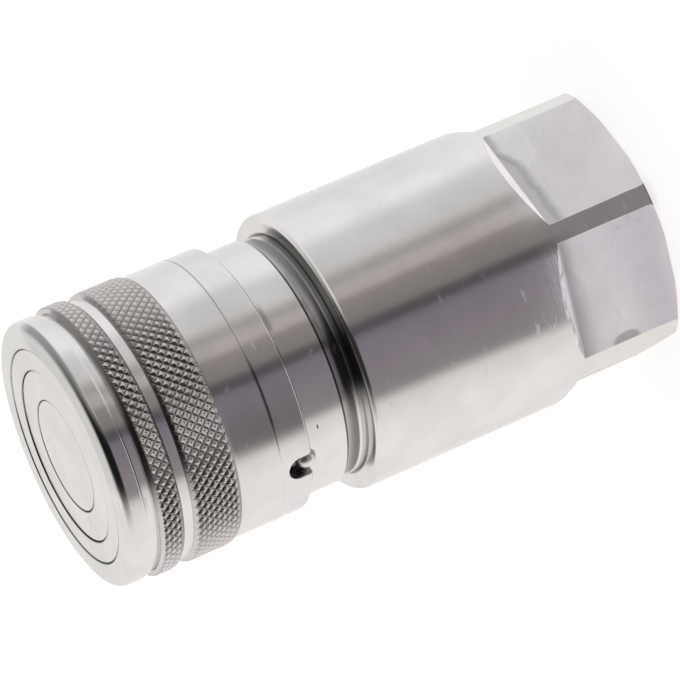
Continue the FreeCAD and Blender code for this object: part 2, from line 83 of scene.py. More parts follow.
# %% Join a grid with quads
def quads_of(rows, columns, closed=True, ring=True):
    """Quad (i, j) joins points (i, j), (i, j+1), (i+1, j+1), (i+1, j). The rows close when the outline is a
    loop, and the columns close when they go all round the axis."""
    quad_rows = rows if closed else rows - 1
    quad_columns = columns if ring else columns - 1
    i, j = np.meshgrid(np.arange(quad_rows), np.arange(quad_columns), indexing="ij")
    below, beside = (i + 1) % rows, (j + 1) % columns
    corners = (i * columns + j, i * columns + beside, below * columns + beside, below * columns + j)
    return np.stack(corners, axis=-1).reshape(-1, 4)


def facing_out(points, quads):
    """Wind the quads so that the signed volume, the sum of a . (b x c) over their triangles, is positive."""
    a, b, c, d = (points[quads[:, k]] for k in range(4))
    volume = np.einsum("ij,ij->", a, np.cross(b, c)) + np.einsum("ij,ij->", a, np.cross(c, d))
    return quads if volume > 0 else quads[:, ::-1]


# %% Put a mesh in the frame
def merge_points(mesh, distance):
    """Join points that fall together, as at a pole or between loose triangles."""
    solid = bmesh.new()
    solid.from_mesh(mesh)
    bmesh.ops.remove_doubles(solid, verts=solid.verts, dist=distance)
    solid.to_mesh(mesh)
    solid.free()


def join_frame(name, mesh, body, materials, stands_for):
    """An object at the origin that rides on a body and stands for CAD nodes, which it hides."""
    for material in materials:
        mesh.materials.append(material)
    piece = bpy.data.objects.new(name, mesh)
    bpy.context.scene.collection.objects.link(piece)
    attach(piece, body)
    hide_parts(*stands_for)
    print(f"{name}: {len(mesh.vertices)} points, {len(mesh.polygons)} faces, on {body}")
    return piece


# %% Hand points and quads to Blender
def add_piece(name, points, quads, body, slot, materials, stands_for, flat=None, second=None):
    """A piece from points in mm. flat marks the quads with hard facets, second those of the second
    material."""
    points = points.reshape(-1, 3)
    quads = facing_out(points, quads)
    mesh = bpy.data.meshes.new(name)
    mesh.vertices.add(len(points))
    mesh.vertices.foreach_set("co", (points * mm).ravel())
    mesh.loops.add(quads.size)
    mesh.loops.foreach_set("vertex_index", quads.ravel())
    mesh.polygons.add(len(quads))
    mesh.polygons.foreach_set("loop_start", np.arange(0, quads.size, 4))
    mesh.polygons.foreach_set("use_smooth", np.ones(len(quads), bool) if flat is None else ~flat)
    if second is not None:
        mesh.polygons.foreach_set("material_index", second.astype(np.int32))
    mesh.update(calc_edges=True)
    merge_points(mesh, distance=1e-8)
    return join_frame(name, mesh, body, materials, stands_for)


# %% [markdown]
# ## Outlines with broken edges
# No turned edge is perfectly sharp: the turner breaks it, and the small round catches a line of light.
# A Bevel modifier could do that, but here each corner of the outline is rounded before it is turned,
# which keeps the rows tidy. One extra point on each side of an arc holds the straight runs flat.

# %% Spread corners over the columns
def together(*parts):
    """Arrays stretched to one shape and joined along a new last axis."""
    return np.stack(np.broadcast_arrays(*parts), axis=-1)


def at_columns(corners, columns):
    """Corners that start with (radius, height) as an array (corner, column, 2). A radius or a height may be
    one number or one for each column."""
    return np.stack([together(radius, height, np.zeros(columns))[..., :2] for radius, height, *_ in corners])


# %% Round the corners of an outline
def rounded(corners, columns=1, steps=2):
    """Corner (radius, height, rounding) at c, with its sides towards a and b, becomes a rational Bezier curve
    from c + a*reach to c + b*reach, an exact arc when the middle weight is the sine of half the corner's
    angle and reach is the rounding over that half angle's tangent. A least reach keeps the points apart
    where the outline runs straight on, and shares of the sides' lengths limit it. The result has the shape
    (corner, point, column, 2)."""
    roundings = np.array([rounding for _, _, rounding in corners])[:, None, None]
    corners = at_columns(corners, columns)
    to_before = np.roll(corners, 1, axis=0) - corners
    to_after = np.roll(corners, -1, axis=0) - corners
    before_length = np.linalg.norm(to_before, axis=-1, keepdims=True)
    after_length = np.linalg.norm(to_after, axis=-1, keepdims=True)
    a, b = to_before / before_length, to_after / after_length
    straight = 0.999999
    half = 0.5 * np.arccos(np.clip((a * b).sum(-1, keepdims=True), -straight, straight))
    hold = least_reach = 0.03
    reach_share, hold_share = 0.4, 0.45
    room = reach_share * np.minimum(before_length, after_length)
    reach = np.minimum(np.maximum(roundings / np.tan(half), least_reach), room)
    share = np.linspace(0, 1, steps + 1)[None, :, None, None]
    first, middle, last = (x[:, None] for x in (corners + a * reach, corners, corners + b * reach))
    weight = 2 * share * (1 - share) * np.sin(half)[:, None]
    arc = (1 - share) ** 2 * first + weight * middle + share ** 2 * last
    arc = arc / ((1 - share) ** 2 + weight + share ** 2)
    lead = corners + a * np.minimum(reach + hold, hold_share * before_length)
    tail = corners + b * np.minimum(reach + hold, hold_share * after_length)
    return np.concatenate([lead[:, None], arc, tail[:, None]], axis=1)


def rows_of(arcs):
    """The arcs of several corners in order, as one block of rows with the shape (row, column, 2)."""
    return arcs.reshape(-1, *arcs.shape[2:])


def turned_points(section, bearing):
    """Carry (radius, height) rows round the axis: x = r cos b, y = r sin b, z = height."""
    radius, height = section[..., 0], section[..., 1]
    return together(radius * np.cos(bearing), radius * np.sin(bearing), height)


# %% [markdown]
# ## Finishes
# All the bright pieces are stainless steel, and what tells them apart is the tool that left them and the use
# since. A lathe leaves fine rings and a milling cutter leaves straight marks across a flat. Painted shade
# darkens one side of the coupling and its gaps, grooves and recesses. One node group makes lathe rings for
# every turned piece: noise that changes fast along the outline and slowly round the axis. The marks and the
# painted shade of single pieces are masks over radius, height and bearing. Image textures could hold such
# marks too, but noise has no seams.

# %% Values that change over a surface
class Field:
    """A node's output as a value that changes over the surface. Arithmetic with it adds Math nodes."""

    def __init__(self, socket):
        self.socket = socket
        self.tree = socket.id_data

    def __add__(self, other):
        return maths("ADD", self, other)

    def __sub__(self, other):
        return maths("SUBTRACT", self, other)

    def __rsub__(self, other):
        return maths("SUBTRACT", other, self)

    def __mul__(self, other):
        return maths("MULTIPLY", self, other)

    def __truediv__(self, other):
        return maths("DIVIDE", self, other)


def feed(socket, value):
    """Link a field to a socket, or set the socket to a plain value."""
    if isinstance(value, Field):
        value.tree.links.new(value.socket, socket)
    else:
        socket.default_value = value


def add_node(tree, kind, inputs, output=0, **settings):
    """A shader node with its settings made and its inputs fed; one of its outputs comes back as a field."""
    node = tree.nodes.new("ShaderNode" + kind)
    for label, value in settings.items():
        setattr(node, label, value)
    for place, value in inputs.items():
        feed(node.inputs[place], value)
    return Field(node.outputs[output])


def maths(operation, *operands):
    """A Math node; each operand is a field or a number."""
    tree = next(operand.tree for operand in operands if isinstance(operand, Field))
    return add_node(tree, "Math", dict(enumerate(operands)), operation=operation)


# %% Noise, steps and lines
def noise(vector, scale, detail=3.0):
    """Noise between 0 and 1 over a vector field."""
    return add_node(vector.tree, "TexNoise", {"Vector": vector, "Scale": scale, "Detail": detail})


def spread(value, low, high):
    """Map a 0 to 1 value onto low to high."""
    return add_node(value.tree, "MapRange", {"Value": value, "To Min": low, "To Max": high})


def ramp(value, low, high, at_low=0.0, at_high=1.0):
    """A soft step: at_low below low, at_high above high."""
    ends = {"From Min": low, "From Max": high, "To Min": at_low, "To Max": at_high}
    return add_node(value.tree, "MapRange", {"Value": value, **ends}, interpolation_type="SMOOTHSTEP")


def fall(value, low, high):
    """A soft step down: 1 below low, 0 above high."""
    return ramp(value, low, high, 1.0, 0.0)


def between(value, low, full, fading, high):
    """A soft window: 1 from full to fading, 0 below low and above high."""
    return ramp(value, low, full) * fall(value, fading, high)


def line(value, centre, half):
    """1 near the centre, falling softly to 0 at half a width on both sides of it."""
    core = 0.4 * half
    return fall(maths("ABSOLUTE", value - centre), core, half)


def dirt_and_shade(*marks):
    """The factor that marks and painted shade put on a colour: 1 - mask * amount, multiplied over pairs of
    mask and amount.
    """
    factor = 1 - marks[0][0] * marks[0][1]
    for mask, amount in marks[1:]:
        factor = factor * (1 - mask * amount)
    return factor


# %% Node groups
def new_group(name, inputs, outputs):
    """A shader node group with float inputs, as names with values, and float outputs, as names."""
    tree = bpy.data.node_groups.new(name, "ShaderNodeTree")
    for label, value in inputs.items():
        tree.interface.new_socket(label, in_out="INPUT", socket_type="NodeSocketFloat").default_value = value
    for label in outputs:
        tree.interface.new_socket(label, in_out="OUTPUT", socket_type="NodeSocketFloat")
    return tree, tree.nodes.new("NodeGroupInput").outputs, tree.nodes.new("NodeGroupOutput").inputs


def use_group(tree, group, inputs):
    """Put a group in a material's tree and give its outputs as fields."""
    node = tree.nodes.new("ShaderNodeGroup")
    node.node_tree = group
    for label, value in inputs.items():
        feed(node.inputs[label], value)
    return [Field(output) for output in node.outputs]


def object_place(tree):
    """The place of a point in the coupling's frame, in metres."""
    return add_node(tree, "TexCoord", {}, "Object")


def parts_of(vector):
    """The three parts of a vector field."""
    node = vector.tree.nodes.new("ShaderNodeSeparateXYZ")
    feed(node.inputs[0], vector)
    return [Field(part) for part in node.outputs]


# %% Places on the bar
def bar_places_group():
    """Radius and Height in mm and Bearing in degrees of a point on the coupling."""
    tree, _, made = new_group("places on the bar", {}, ("Radius", "Height", "Bearing"))
    x, y, z = parts_of(object_place(tree))
    feed(made["Radius"], maths("SQRT", x * x + y * y) / mm)
    feed(made["Height"], z / mm)
    feed(made["Bearing"], maths("ARCTAN2", y, x) * (180 / np.pi))
    return tree


bar_places = bar_places_group()


def places(tree):
    """Radius, height and bearing in a material's tree."""
    return use_group(tree, bar_places, {})


def spot(bearing, height, at_bearing, at_height, across, along):
    """A soft patch on the round surface, given its middle and its half sizes in mm."""
    usual_radius = 19.0
    mm_a_degree = usual_radius * np.pi / 180
    sideways = (bearing - at_bearing) * (mm_a_degree / across)
    upwards = (height - at_height) / along
    return fall(sideways * sideways + upwards * upwards, low=0.5, high=1.1)


print("node group:", bar_places.name)


# %% Lathe rings
def lathe_rings_group():
    """Rings is noise over (x, y, (radius + height) * Rings per mm), so it changes along the outline of any
    turned face. Cloud is slow noise over the whole piece, for handling and uneven polish. Scuffs is 1 on a
    few short streaks where the polish is gone."""
    tree, given, made = new_group("lathe rings", {"Rings per mm": 6.0}, ("Rings", "Cloud", "Scuffs"))
    place = object_place(tree)
    x, y, z = parts_of(place)
    along = (maths("SQRT", x * x + y * y) + z) * Field(given["Rings per mm"])
    slow_round = 60.0
    slow_place = {"X": x * slow_round, "Y": y * slow_round, "Z": along * (1 / mm)}
    shorter_up = (1, 1, 3)
    streaks = add_node(tree, "VectorMath", {0: place, 1: shorter_up}, operation="MULTIPLY")
    feed(made["Rings"], noise(add_node(tree, "CombineXYZ", slow_place), scale=1.0, detail=2.0))
    feed(made["Cloud"], ramp(noise(place, scale=160.0, detail=5.0), low=0.3, high=0.7))
    feed(made["Scuffs"], ramp(noise(streaks, scale=330.0, detail=2.5), low=0.62, high=0.84))
    return tree


lathe_rings = lathe_rings_group()
print("node group:", lathe_rings.name)


# %% Colour, roughness and bump
# The colour sockets of a Mix node have the same names as its others, so they are taken by their numbers.
mix_first, mix_second, mix_result = 6, 7, 2


def new_material(name):
    """A material, its tree and the inputs of its Principled shader."""
    material = bpy.data.materials.new(name)
    material.use_nodes = True
    return material, material.node_tree, material.node_tree.nodes["Principled BSDF"].inputs


def two_tone(share, deep, pale):
    """A colour that runs from deep to pale with the share."""
    tones = {"Factor": share, mix_first: (*deep, 1), mix_second: (*pale, 1)}
    return add_node(share.tree, "Mix", tones, mix_result, data_type="RGBA")


def bumped(height, strength):
    """The normal over a relief of a fiftieth of a millimetre."""
    relief = 0.02 * mm
    return add_node(height.tree, "Bump", {"Strength": strength, "Distance": relief, "Height": height})


def finish_with(shader, colour, roughness, normal):
    """Feed the three sockets that every finish here varies."""
    feed(shader["Base Color"], colour)
    feed(shader["Roughness"], roughness)
    feed(shader["Normal"], normal)


# %% A steel material from its marks
def steel(name, pale, deep, smooth, rough, rings_per_mm=6.0, depth=0.3, shade=None, lift=None):
    """Bare steel whose colour runs from deep to pale with the cloud, and whose roughness and bump follow the
    rings. shade is a function of radius, height and bearing that gives the factor which the marks, painted
    shade and painted highlights of one piece put on the colour. lift is one that gives how far the normal
    leans up, as on a face worn round."""
    material, tree, shader = new_material(name)
    feed(shader["Metallic"], 1.0)
    edge_tint = (0.88, 0.88, 0.88, 1)
    scuff_roughness, worn_polish = 0.3, 0.75
    feed(shader["Specular Tint"], edge_tint)
    rings, cloud, scuffs = use_group(tree, lathe_rings, {"Rings per mm": rings_per_mm})
    colour = two_tone(cloud, deep, pale)
    roughness = spread(rings, smooth, rough) + scuffs * scuff_roughness
    normal = bumped(rings, depth)
    if shade:
        marked = {"Factor": 1.0, mix_first: colour, mix_second: shade(*places(tree))}
        colour = add_node(tree, "Mix", marked, mix_result, data_type="RGBA", blend_type="MULTIPLY")
    if lift:
        leaned = lift(*places(tree))
        roughness = roughness * (1 - leaned * worn_polish)
        upwards = add_node(tree, "CombineXYZ", {"Z": leaned})
        leaning = add_node(tree, "VectorMath", {0: normal, 1: upwards}, operation="ADD")
        normal = add_node(tree, "VectorMath", {0: leaning}, operation="NORMALIZE")
    finish_with(shader, colour, roughness, normal)
    print("material:", name)
    return material


# %% The polish and the painted shade that several pieces share
polished = {"pale": (0.80, 0.79, 0.785), "deep": (0.74, 0.73, 0.725), "smooth": 0.12, "rough": 0.22}
stem_gap, valve_gap, sleeve_gap = 8.0, 12.3, 15.38


def gap_shade_rings(radius, bearing, *gaps):
    """1 on the fine gaps of the flat face and their walls, where shade is painted, more on one side than on
    the other.
    """
    half_width, shaded_bearing, crevice_shade, uneven = 0.26, 130.0, 0.5, 0.3
    rings = line(radius, gaps[0], half_width)
    for gap in gaps[1:]:
        rings = rings + line(radius, gap, half_width)
    # painted shade in the gaps, stronger on one side of the coupling
    turn = (bearing - shaded_bearing) * (np.pi / 180)
    return rings * (maths("COSINE", turn) * uneven + crevice_shade)


def near_face(height):
    """1 on the flat face and its broken edges, 0 below."""
    return ramp(height, behind(0.6), behind(0.5))


def shaded_side(bearing):
    """1 on the side of the coupling that gets painted shade."""
    # the bearings where painted shade darkens one side
    return between(bearing, -122.0, -112.0, -30.0, -15.0)


# %% [markdown]
# ## The rear adapter
# The big half is a round bar with six wrench flats milled across its port end. Each flat ends in a wall
# that leans forwards, so on the round body it fades out in a lens shape. A Boolean with six boxes would cut
# it, but the cut edges would cross the quads anywhere. Here every bearing gets its own outline instead:
# the radius is the smaller of the round body and the flat, and rows and columns follow the real edges.

# %% Bearings that follow the edges of the flats
flat_count = 6
flat_turn = 360.0 / flat_count
flats_across = 36.0
flats_length = 15.65
flats_runout = 2.0
flat_distance = flats_across / 2
flat_half_angle = np.degrees(np.arccos(flat_distance / body_radius))
flat_columns = np.linspace(0, flat_half_angle - 1, 13)
edge_columns = flat_half_angle + np.array([-0.5, -0.35, -0.22, -0.11, 0, 0.11, 0.22, 0.35, 0.5])
rib_columns = [27.4, 28.6, flat_turn / 2]
half_sector = np.concatenate([flat_columns, edge_columns, rib_columns])
sector = np.concatenate([-half_sector[-2:0:-1], half_sector])
from_flat = np.radians(np.tile(sector, flat_count))
adapter_bearing = np.radians(np.repeat(flat_turn * np.arange(flat_count), len(sector))) + from_flat
print(f"flats start {flat_half_angle:.2f} degrees from their middles, {len(adapter_bearing)} columns")

# %% The port thread
port_radius = 10.478
port_length = 17.0
port_chamfer = 0.7
thread_pitch = 1.814
thread_height = 1.16


def thread_radius(bearing, height, root, ridge, pitch, start, end):
    """A right-hand ridge that stands in from the root: its height is a flattened triangle wave of
    height / pitch - turns, faded in over one pitch from start and out over one pitch before end."""
    phase = (height / pitch - bearing / (2 * np.pi)) % 1.0
    wave = np.clip(1.5 * (1 - np.abs(2 * phase - 1)) - 0.25, 0, 1)
    fade = np.clip((height - start) / pitch, 0, 1) * np.clip((end - height) / pitch, 0, 1)
    return root - ridge * wave * fade


thread_steps = 116
thread_rows = np.linspace(port_length - 0.6, port_chamfer + 0.3, thread_steps)[:, None]
port_thread = thread_radius(
    adapter_bearing, thread_rows, port_radius, thread_height, thread_pitch, port_chamfer, port_length)
print(f"port thread {port_length / thread_pitch:.1f} turns")


# %% The flats and their run-outs at every bearing
def smaller(first, second, blend):
    """The smaller of two radii, with their meeting line rounded over the blend."""
    share = np.clip(0.5 + 0.5 * (second - first) / blend, 0, 1)
    return second + (first - second) * share - blend * share * (1 - share)


rear_edge_radius = 18.2
rear_chamfer = 0.84
edge = 0.1
flat_radius = smaller(body_radius, flat_distance / np.cos(from_flat), blend=0.06)
chamfer_slope = rear_chamfer / (body_radius - rear_edge_radius)
chamfer_top = np.maximum((flat_radius - rear_edge_radius) * chamfer_slope, edge)
runout_slope = flats_runout / (body_radius - flat_distance)
least_cut = 0.015
cut_depth = np.maximum(body_radius * np.cos(from_flat) - flat_distance, least_cut)
runout_top = flats_length + cut_depth * runout_slope
print(f"flats run out between {flats_length:.2f} and {runout_top.max():.2f} mm from the port end")

# %% The adapter's outline
lip = behind(36.6)
mouth_radius = 17.55
shoulder_radius = 17.28
mouth_floor = behind(37.9)
ring_seat_radius = 17.2
ring_seat_end = behind(42.0)
joint_radius = 16.6
joint_start = behind(42.4)
tail_radius = 15.6
tail_seat = behind(50.5)
spider_seat = behind(55.1)
flow_radius = 12.5
flow_end = port_length + flow_radius - port_radius
adapter_corners = [
    (port_radius + port_chamfer, 0.0, 0.12),
    (np.minimum(rear_edge_radius, flat_radius - edge), 0.0, 0.10),
    (flat_radius, chamfer_top, 0.10),
    (flat_radius, flats_length, 0.35),
    (body_radius, runout_top, 0.10),
    (body_radius, flats_length + flats_runout + 0.6, 0.02),
    (body_radius, lip, 0.7),
    (mouth_radius, lip, 0.05),
    (shoulder_radius, lip - 0.15, 0.05),
    (shoulder_radius, mouth_floor, 0.05),
    (ring_seat_radius, mouth_floor, 0.05),
    (ring_seat_radius, ring_seat_end, 0.05),
    (joint_radius, joint_start, 0.05),
    (joint_radius, tail_seat, 0.05),
    (tail_radius, tail_seat, 0.05),
    (tail_radius, spider_seat, 0.05),
    (flow_radius, spider_seat, 0.20),
    (flow_radius, flow_end, 0.30),
    (port_radius, port_length, 0.20),
    (port_radius, port_chamfer, 0.10),
]
adapter_arcs = rounded(adapter_corners, len(adapter_bearing), steps=6)
adapter_section = np.concatenate([
    rows_of(adapter_arcs[:-1]), together(port_thread, thread_rows), rows_of(adapter_arcs[-1:])])
adapter_points = turned_points(adapter_section, adapter_bearing)
print(f"adapter grid {adapter_points.shape[0]} rows by {adapter_points.shape[1]} columns")


# %% Finish of the round body
def mouth_painted_shade(radius, height, bearing):
    """A line of painted shade where the lip meets the front body, and painted shade on one side of the lip's
    face.
    """
    seam_radius, rim_start, rim_end = 17.4, 18.7, 19.2
    # painted shade in the seam between lip and front body, and on one side of the lip's face
    seam = line(radius, seam_radius, half=0.3)
    lip_face = ramp(height, lip - 0.2, lip - 0.1) * fall(radius, rim_start, rim_end)
    return dirt_and_shade((seam, 0.45), (lip_face * shaded_side(bearing), 0.40))


adapter_steel = steel("adapter steel", **polished, depth=0.3, shade=mouth_painted_shade)


# %% Finish of the flats
def place_on_flat(bearing):
    """Distance across a wrench flat from its middle in mm, and 1 on every other flat."""
    turn = bearing / flat_turn
    flat = maths("ROUND", turn)
    across = maths("TANGENT", (turn - flat) * np.radians(flat_turn)) * flat_distance
    return across, maths("FLOORED_MODULO", flat, 2.0)


def cutter_marks_and_painted_light(radius, height, bearing):
    """On every other flat the cutter left a strong dull strip in front of the wall, with a dark edge and a
    bright worn patch beside it. The flats between have a weaker strip, painted shade at the foot of the wall
    and burrs on its edge. The arcs of the cutter are noise over height + 0.35 across + 0.01 across^2. The
    walls get a painted highlight, and one flat is smudged."""
    place = object_place(radius.tree)
    across, odd = place_on_flat(bearing)
    even = 1 - odd
    from_wall = flats_length - height
    wobble = spread(noise(place, scale=300.0), low=-0.7, high=0.7)
    past_strip = from_wall - (ramp(across, 1.0, 6.0, at_low=2.3, at_high=0.6) + wobble)
    dull = fall(past_strip, -0.6, 0.3) * 0.2 + line(past_strip, -0.3, 1.0) * 0.14
    wall = ramp(height, flats_length, flats_length + 0.15)
    strip = dull * (odd * 0.7 + 0.3) * (1 - wall)
    slanted = across - from_wall * 0.7 + wobble
    near_wall = fall(from_wall + wobble, 5.2, 5.6)
    patch = ramp(past_strip, 0.1, 0.4) * near_wall * ramp(slanted, -1.0, -0.6) * odd
    bend = across * (across * 0.01 + 0.35)
    arcs_per_mm, changes_along = 5.0, 0.25
    arcs = {"X": (height + bend) * arcs_per_mm, "Y": across * changes_along}
    brushed = spread(noise(add_node(radius.tree, "CombineXYZ", arcs), scale=1.0), low=0.93, high=1.07)
    burrs = ramp(radius, 18.9, 19.2) * ramp(noise(place, scale=500.0), 0.40, 0.65) * even * wall
    smudge = spot(bearing, height + wobble, at_bearing=-144.9, at_height=8.7, across=1.05, along=2.3)
    # painted shade in the corner at the foot of the wall
    foot = between(from_wall, 0.0, 0.1, 0.1, 2.2) * even
    # painted highlight on the walls, times the worn patch and the brushed arcs
    bright = (patch * 0.07 + 1.0) * brushed * (wall * 0.22 + 1.0)
    return bright * dirt_and_shade((strip, 1.0), (burrs, 0.4), (smudge, 0.4), (foot, 0.3))


def worn_wall(radius, height, bearing):
    """The walls at the ends of the flats are worn round and lean less than they were cut, on every other
    flat much less."""
    lean, more_on_odd = 0.25, 0.66
    _, odd = place_on_flat(bearing)
    return ramp(height, flats_length + 0.05, flats_length + 0.3) * (odd * more_on_odd + lean)


milled_steel = steel(
    "milled steel", pale=(0.78, 0.77, 0.775), deep=(0.72, 0.71, 0.715), smooth=0.26, rough=0.36,
    rings_per_mm=3.0, depth=0.2, shade=cutter_marks_and_painted_light, lift=worn_wall)

# %% Build the rear adapter
adapter_quads = quads_of(*adapter_points.shape[:2])
row, column = np.divmod(np.arange(len(adapter_quads)), len(adapter_bearing))
points_a_corner = adapter_arcs.shape[1]
chamfer_corner, runout_corner = 2, 4
chamfer_middle = chamfer_corner * points_a_corner + 4
runout_middle = runout_corner * points_a_corner + 3
on_flat = np.abs(from_flat[column]) < np.radians(flat_half_angle) - 1e-6
milled = on_flat & (row >= chamfer_middle) & (row < runout_middle)
add_piece(
    "rear_adapter_skin", adapter_points, adapter_quads, "coupling_body", "turned_steel",
    [adapter_steel, milled_steel], ["rear_adapter"], second=milled)


# %% [markdown]
# ## The locking sleeve
# The sleeve is gripped and pulled back to let a plug go, so two bands of it are knurled: rolls press two sets
# of grooves into the steel, one leaning left and one right, and small pyramids stand between them.
# A bump map would keep the outline smooth, so the pyramids are real here. At its rear edge a notch lets
# the sleeve pass a ball in the collar at one bearing only, which locks it against being pulled by mistake.

# %% The knurl as a height over bearing and length
knurl_starts = 86
knurl_per_mm = 0.664
knurl_points = 6
knurl_root = 18.80
knurl_valley = 19.13
knurl_peak = 19.42
tip_share = 0.74
end_slope = 1.0
last_slope = 0.5
sleeve_radius = 19.0
first_band = 4.6, 8.08
second_band = 9.5, 16.56


def knurl_radius(bearing, height, front, rear, rear_root, rear_slope):
    """With a = bearing in knurl teeth and b = height in knurl lengths, grooves lie where a + b or a - b is
    whole. The pyramids between them rise with 1 - max(|2 frac(a+b) - 1|, |2 frac(a-b) - 1|), with their tips
    worn off. A chamfer at both ends of the band trims them, root + slope * the distance from the end."""
    a, b = knurl_starts * bearing / (2 * np.pi), knurl_per_mm * height
    left, right = (np.abs(2 * np.mod(lean, 1) - 1) for lean in (a + b, a - b))
    rise = np.minimum((1 - np.maximum(left, right)) / tip_share, 1)
    front_trim = knurl_root + end_slope * (behind(front) - height)
    rear_trim = rear_root + rear_slope * (height - behind(rear))
    pyramids = knurl_valley + (knurl_peak - knurl_valley) * rise
    return np.minimum(pyramids, np.minimum(front_trim, rear_trim))


def knurl_block(bearing, front, rear, rear_root, rear_slope):
    """Rows of a knurled band between two depths, spaced so that the grooves run through grid points."""
    step = 1 / (knurl_points * knurl_per_mm)
    inset = 0.04
    first, last = np.floor((behind(front) - inset) / step), np.ceil((behind(rear) + inset) / step)
    height = step * np.arange(first, last - 1, -1)[:, None]
    return together(knurl_radius(bearing, height, front, rear, rear_root, rear_slope), height)


# %% The sleeve's bearings, and the notch
notch_bearing = np.radians(-140.65)
notch_half_width = 1.8
notch_centre = 25.66
sleeve_rear = 27.41
skirt_middle = 18.4
sleeve_columns = knurl_starts * knurl_points
half_round = sleeve_columns // 2
notch_columns = 10
wall_columns = notch_columns + 0.96
plain_bearing = 2 * np.pi * np.arange(sleeve_columns) / sleeve_columns
middle_column = int(np.round(notch_bearing / (2 * np.pi) * sleeve_columns)) % sleeve_columns
from_notch = (np.arange(sleeve_columns) - middle_column + half_round) % sleeve_columns - half_round
in_notch = np.abs(from_notch) <= notch_columns
round_angle = np.pi / 2 * np.clip(from_notch / notch_columns, -1, 1)
notch_angle = np.arcsin(notch_half_width * np.sin(round_angle) / skirt_middle)
side_angle = np.arcsin(notch_half_width / skirt_middle)
column_angle = (np.pi - side_angle) / (half_round - wall_columns)
outside_angle = np.sign(from_notch) * (side_angle + (np.abs(from_notch) - wall_columns) * column_angle)
skirt_bearing = notch_bearing + np.where(in_notch, notch_angle, outside_angle)
skirt_bearing = plain_bearing + (skirt_bearing - plain_bearing + np.pi) % (2 * np.pi) - np.pi
rear_end = behind(np.where(in_notch, notch_centre - notch_half_width * np.cos(round_angle), sleeve_rear))
notch_break, skirt_break = 0.05, 0.3
rear_break = np.where(in_notch, notch_break, skirt_break)
print(f"{sleeve_columns} columns, {in_notch.sum()} of them in the notch")

# %% The sleeve's corners from nose to notch, and back inside
face_break = 0.06
sleeve_bore = 15.43
skirt_bore = 17.75
skirt_front = 11.2
stop_groove_radius = 18.02
stop_groove = 21.88, 22.92
release_radius = 17.0
release_groove = 2.2, 6.82
ramp_end = 8.39
nose_line = 2.88
cone_radius = 18.6
cone_end = 4.2
front_groove_radius = 18.3
grip_groove_radius = 18.65
turned_line = 22.85
nose_corners = [
    (sleeve_bore + face_break, behind(0), 0.02),
    (sleeve_radius, behind(0), 1.4),
    (sleeve_radius, behind(nose_line - 0.14), 0.05),
    (sleeve_radius - 0.07, behind(nose_line), 0.03),
    (sleeve_radius - 0.02, behind(nose_line + 0.14), 0.05),
    (cone_radius, behind(cone_end), 0.06),
    (front_groove_radius, behind(cone_end), 0.06),
    (front_groove_radius, behind(first_band[0]), 0.06),
    (knurl_root, behind(first_band[0]), 0.01),
]
groove_corners = [
    (knurl_root, behind(first_band[1]), 0.01),
    (grip_groove_radius, behind(first_band[1]), 0.10),
    (grip_groove_radius, behind(second_band[0]), 0.10),
    (knurl_root, behind(second_band[0]), 0.01),
]
rear_corners = [
    (sleeve_radius, behind(second_band[1]), 0.02),
    (sleeve_radius, behind(turned_line - 0.1), 0.02),
    (sleeve_radius - 0.03, behind(turned_line), 0.02),
    (sleeve_radius, behind(turned_line + 0.1), 0.02),
    (sleeve_radius, rear_end + rear_break, 0.35),
    (sleeve_radius - rear_break, rear_end, 0.03),
    (skirt_bore, rear_end, 0.05),
]
inside_corners = [(radius, behind(depth), 0.02) for radius, depth in (
    (skirt_bore, stop_groove[1]), (stop_groove_radius, stop_groove[1]),
    (stop_groove_radius, stop_groove[0]), (skirt_bore, stop_groove[0]),
    (skirt_bore, skirt_front), (sleeve_bore, skirt_front), (sleeve_bore, ramp_end),
    (release_radius, release_groove[1]), (release_radius, release_groove[0]),
    (sleeve_bore, release_groove[0]), (sleeve_bore, face_break))]
outside_corners = nose_corners + groove_corners + rear_corners
print(f"sleeve outline of {len(outside_corners)} corners outside and {len(inside_corners)} inside")

# %% The sleeve's rows
fine = rounded(outside_corners + inside_corners, sleeve_columns)
nose = rounded(outside_corners + inside_corners, sleeve_columns, steps=9)[1:2]
first_knurl = len(nose_corners)
second_knurl = first_knurl + len(groove_corners)
blocks = {
    "face": rows_of(fine[:1]),
    "nose": rows_of(nose),
    "front": rows_of(fine[2:first_knurl]),
    "first knurl": knurl_block(plain_bearing, *first_band, knurl_root, end_slope),
    "grip groove": rows_of(fine[first_knurl:second_knurl]),
    "second knurl": knurl_block(plain_bearing, *second_band, sleeve_radius, last_slope),
    "rear": rows_of(fine[second_knurl:len(outside_corners)]),
    "inside": at_columns(inside_corners, sleeve_columns),
}
ends = dict(zip(blocks, np.cumsum([len(block) for block in blocks.values()])))
sleeve_section = np.concatenate(list(blocks.values()))
section_row = np.arange(len(sleeve_section))
stop_groove_corners = 4
skirt_start = ends["second knurl"] + fine.shape[1]
skirt_end = ends["rear"] + stop_groove_corners
on_skirt = (section_row >= skirt_start) & (section_row < skirt_end)
sleeve_points = turned_points(sleeve_section, np.where(on_skirt[:, None], skirt_bearing, plain_bearing))
print(f"sleeve grid {sleeve_points.shape[0]} rows by {sleeve_points.shape[1]} columns")


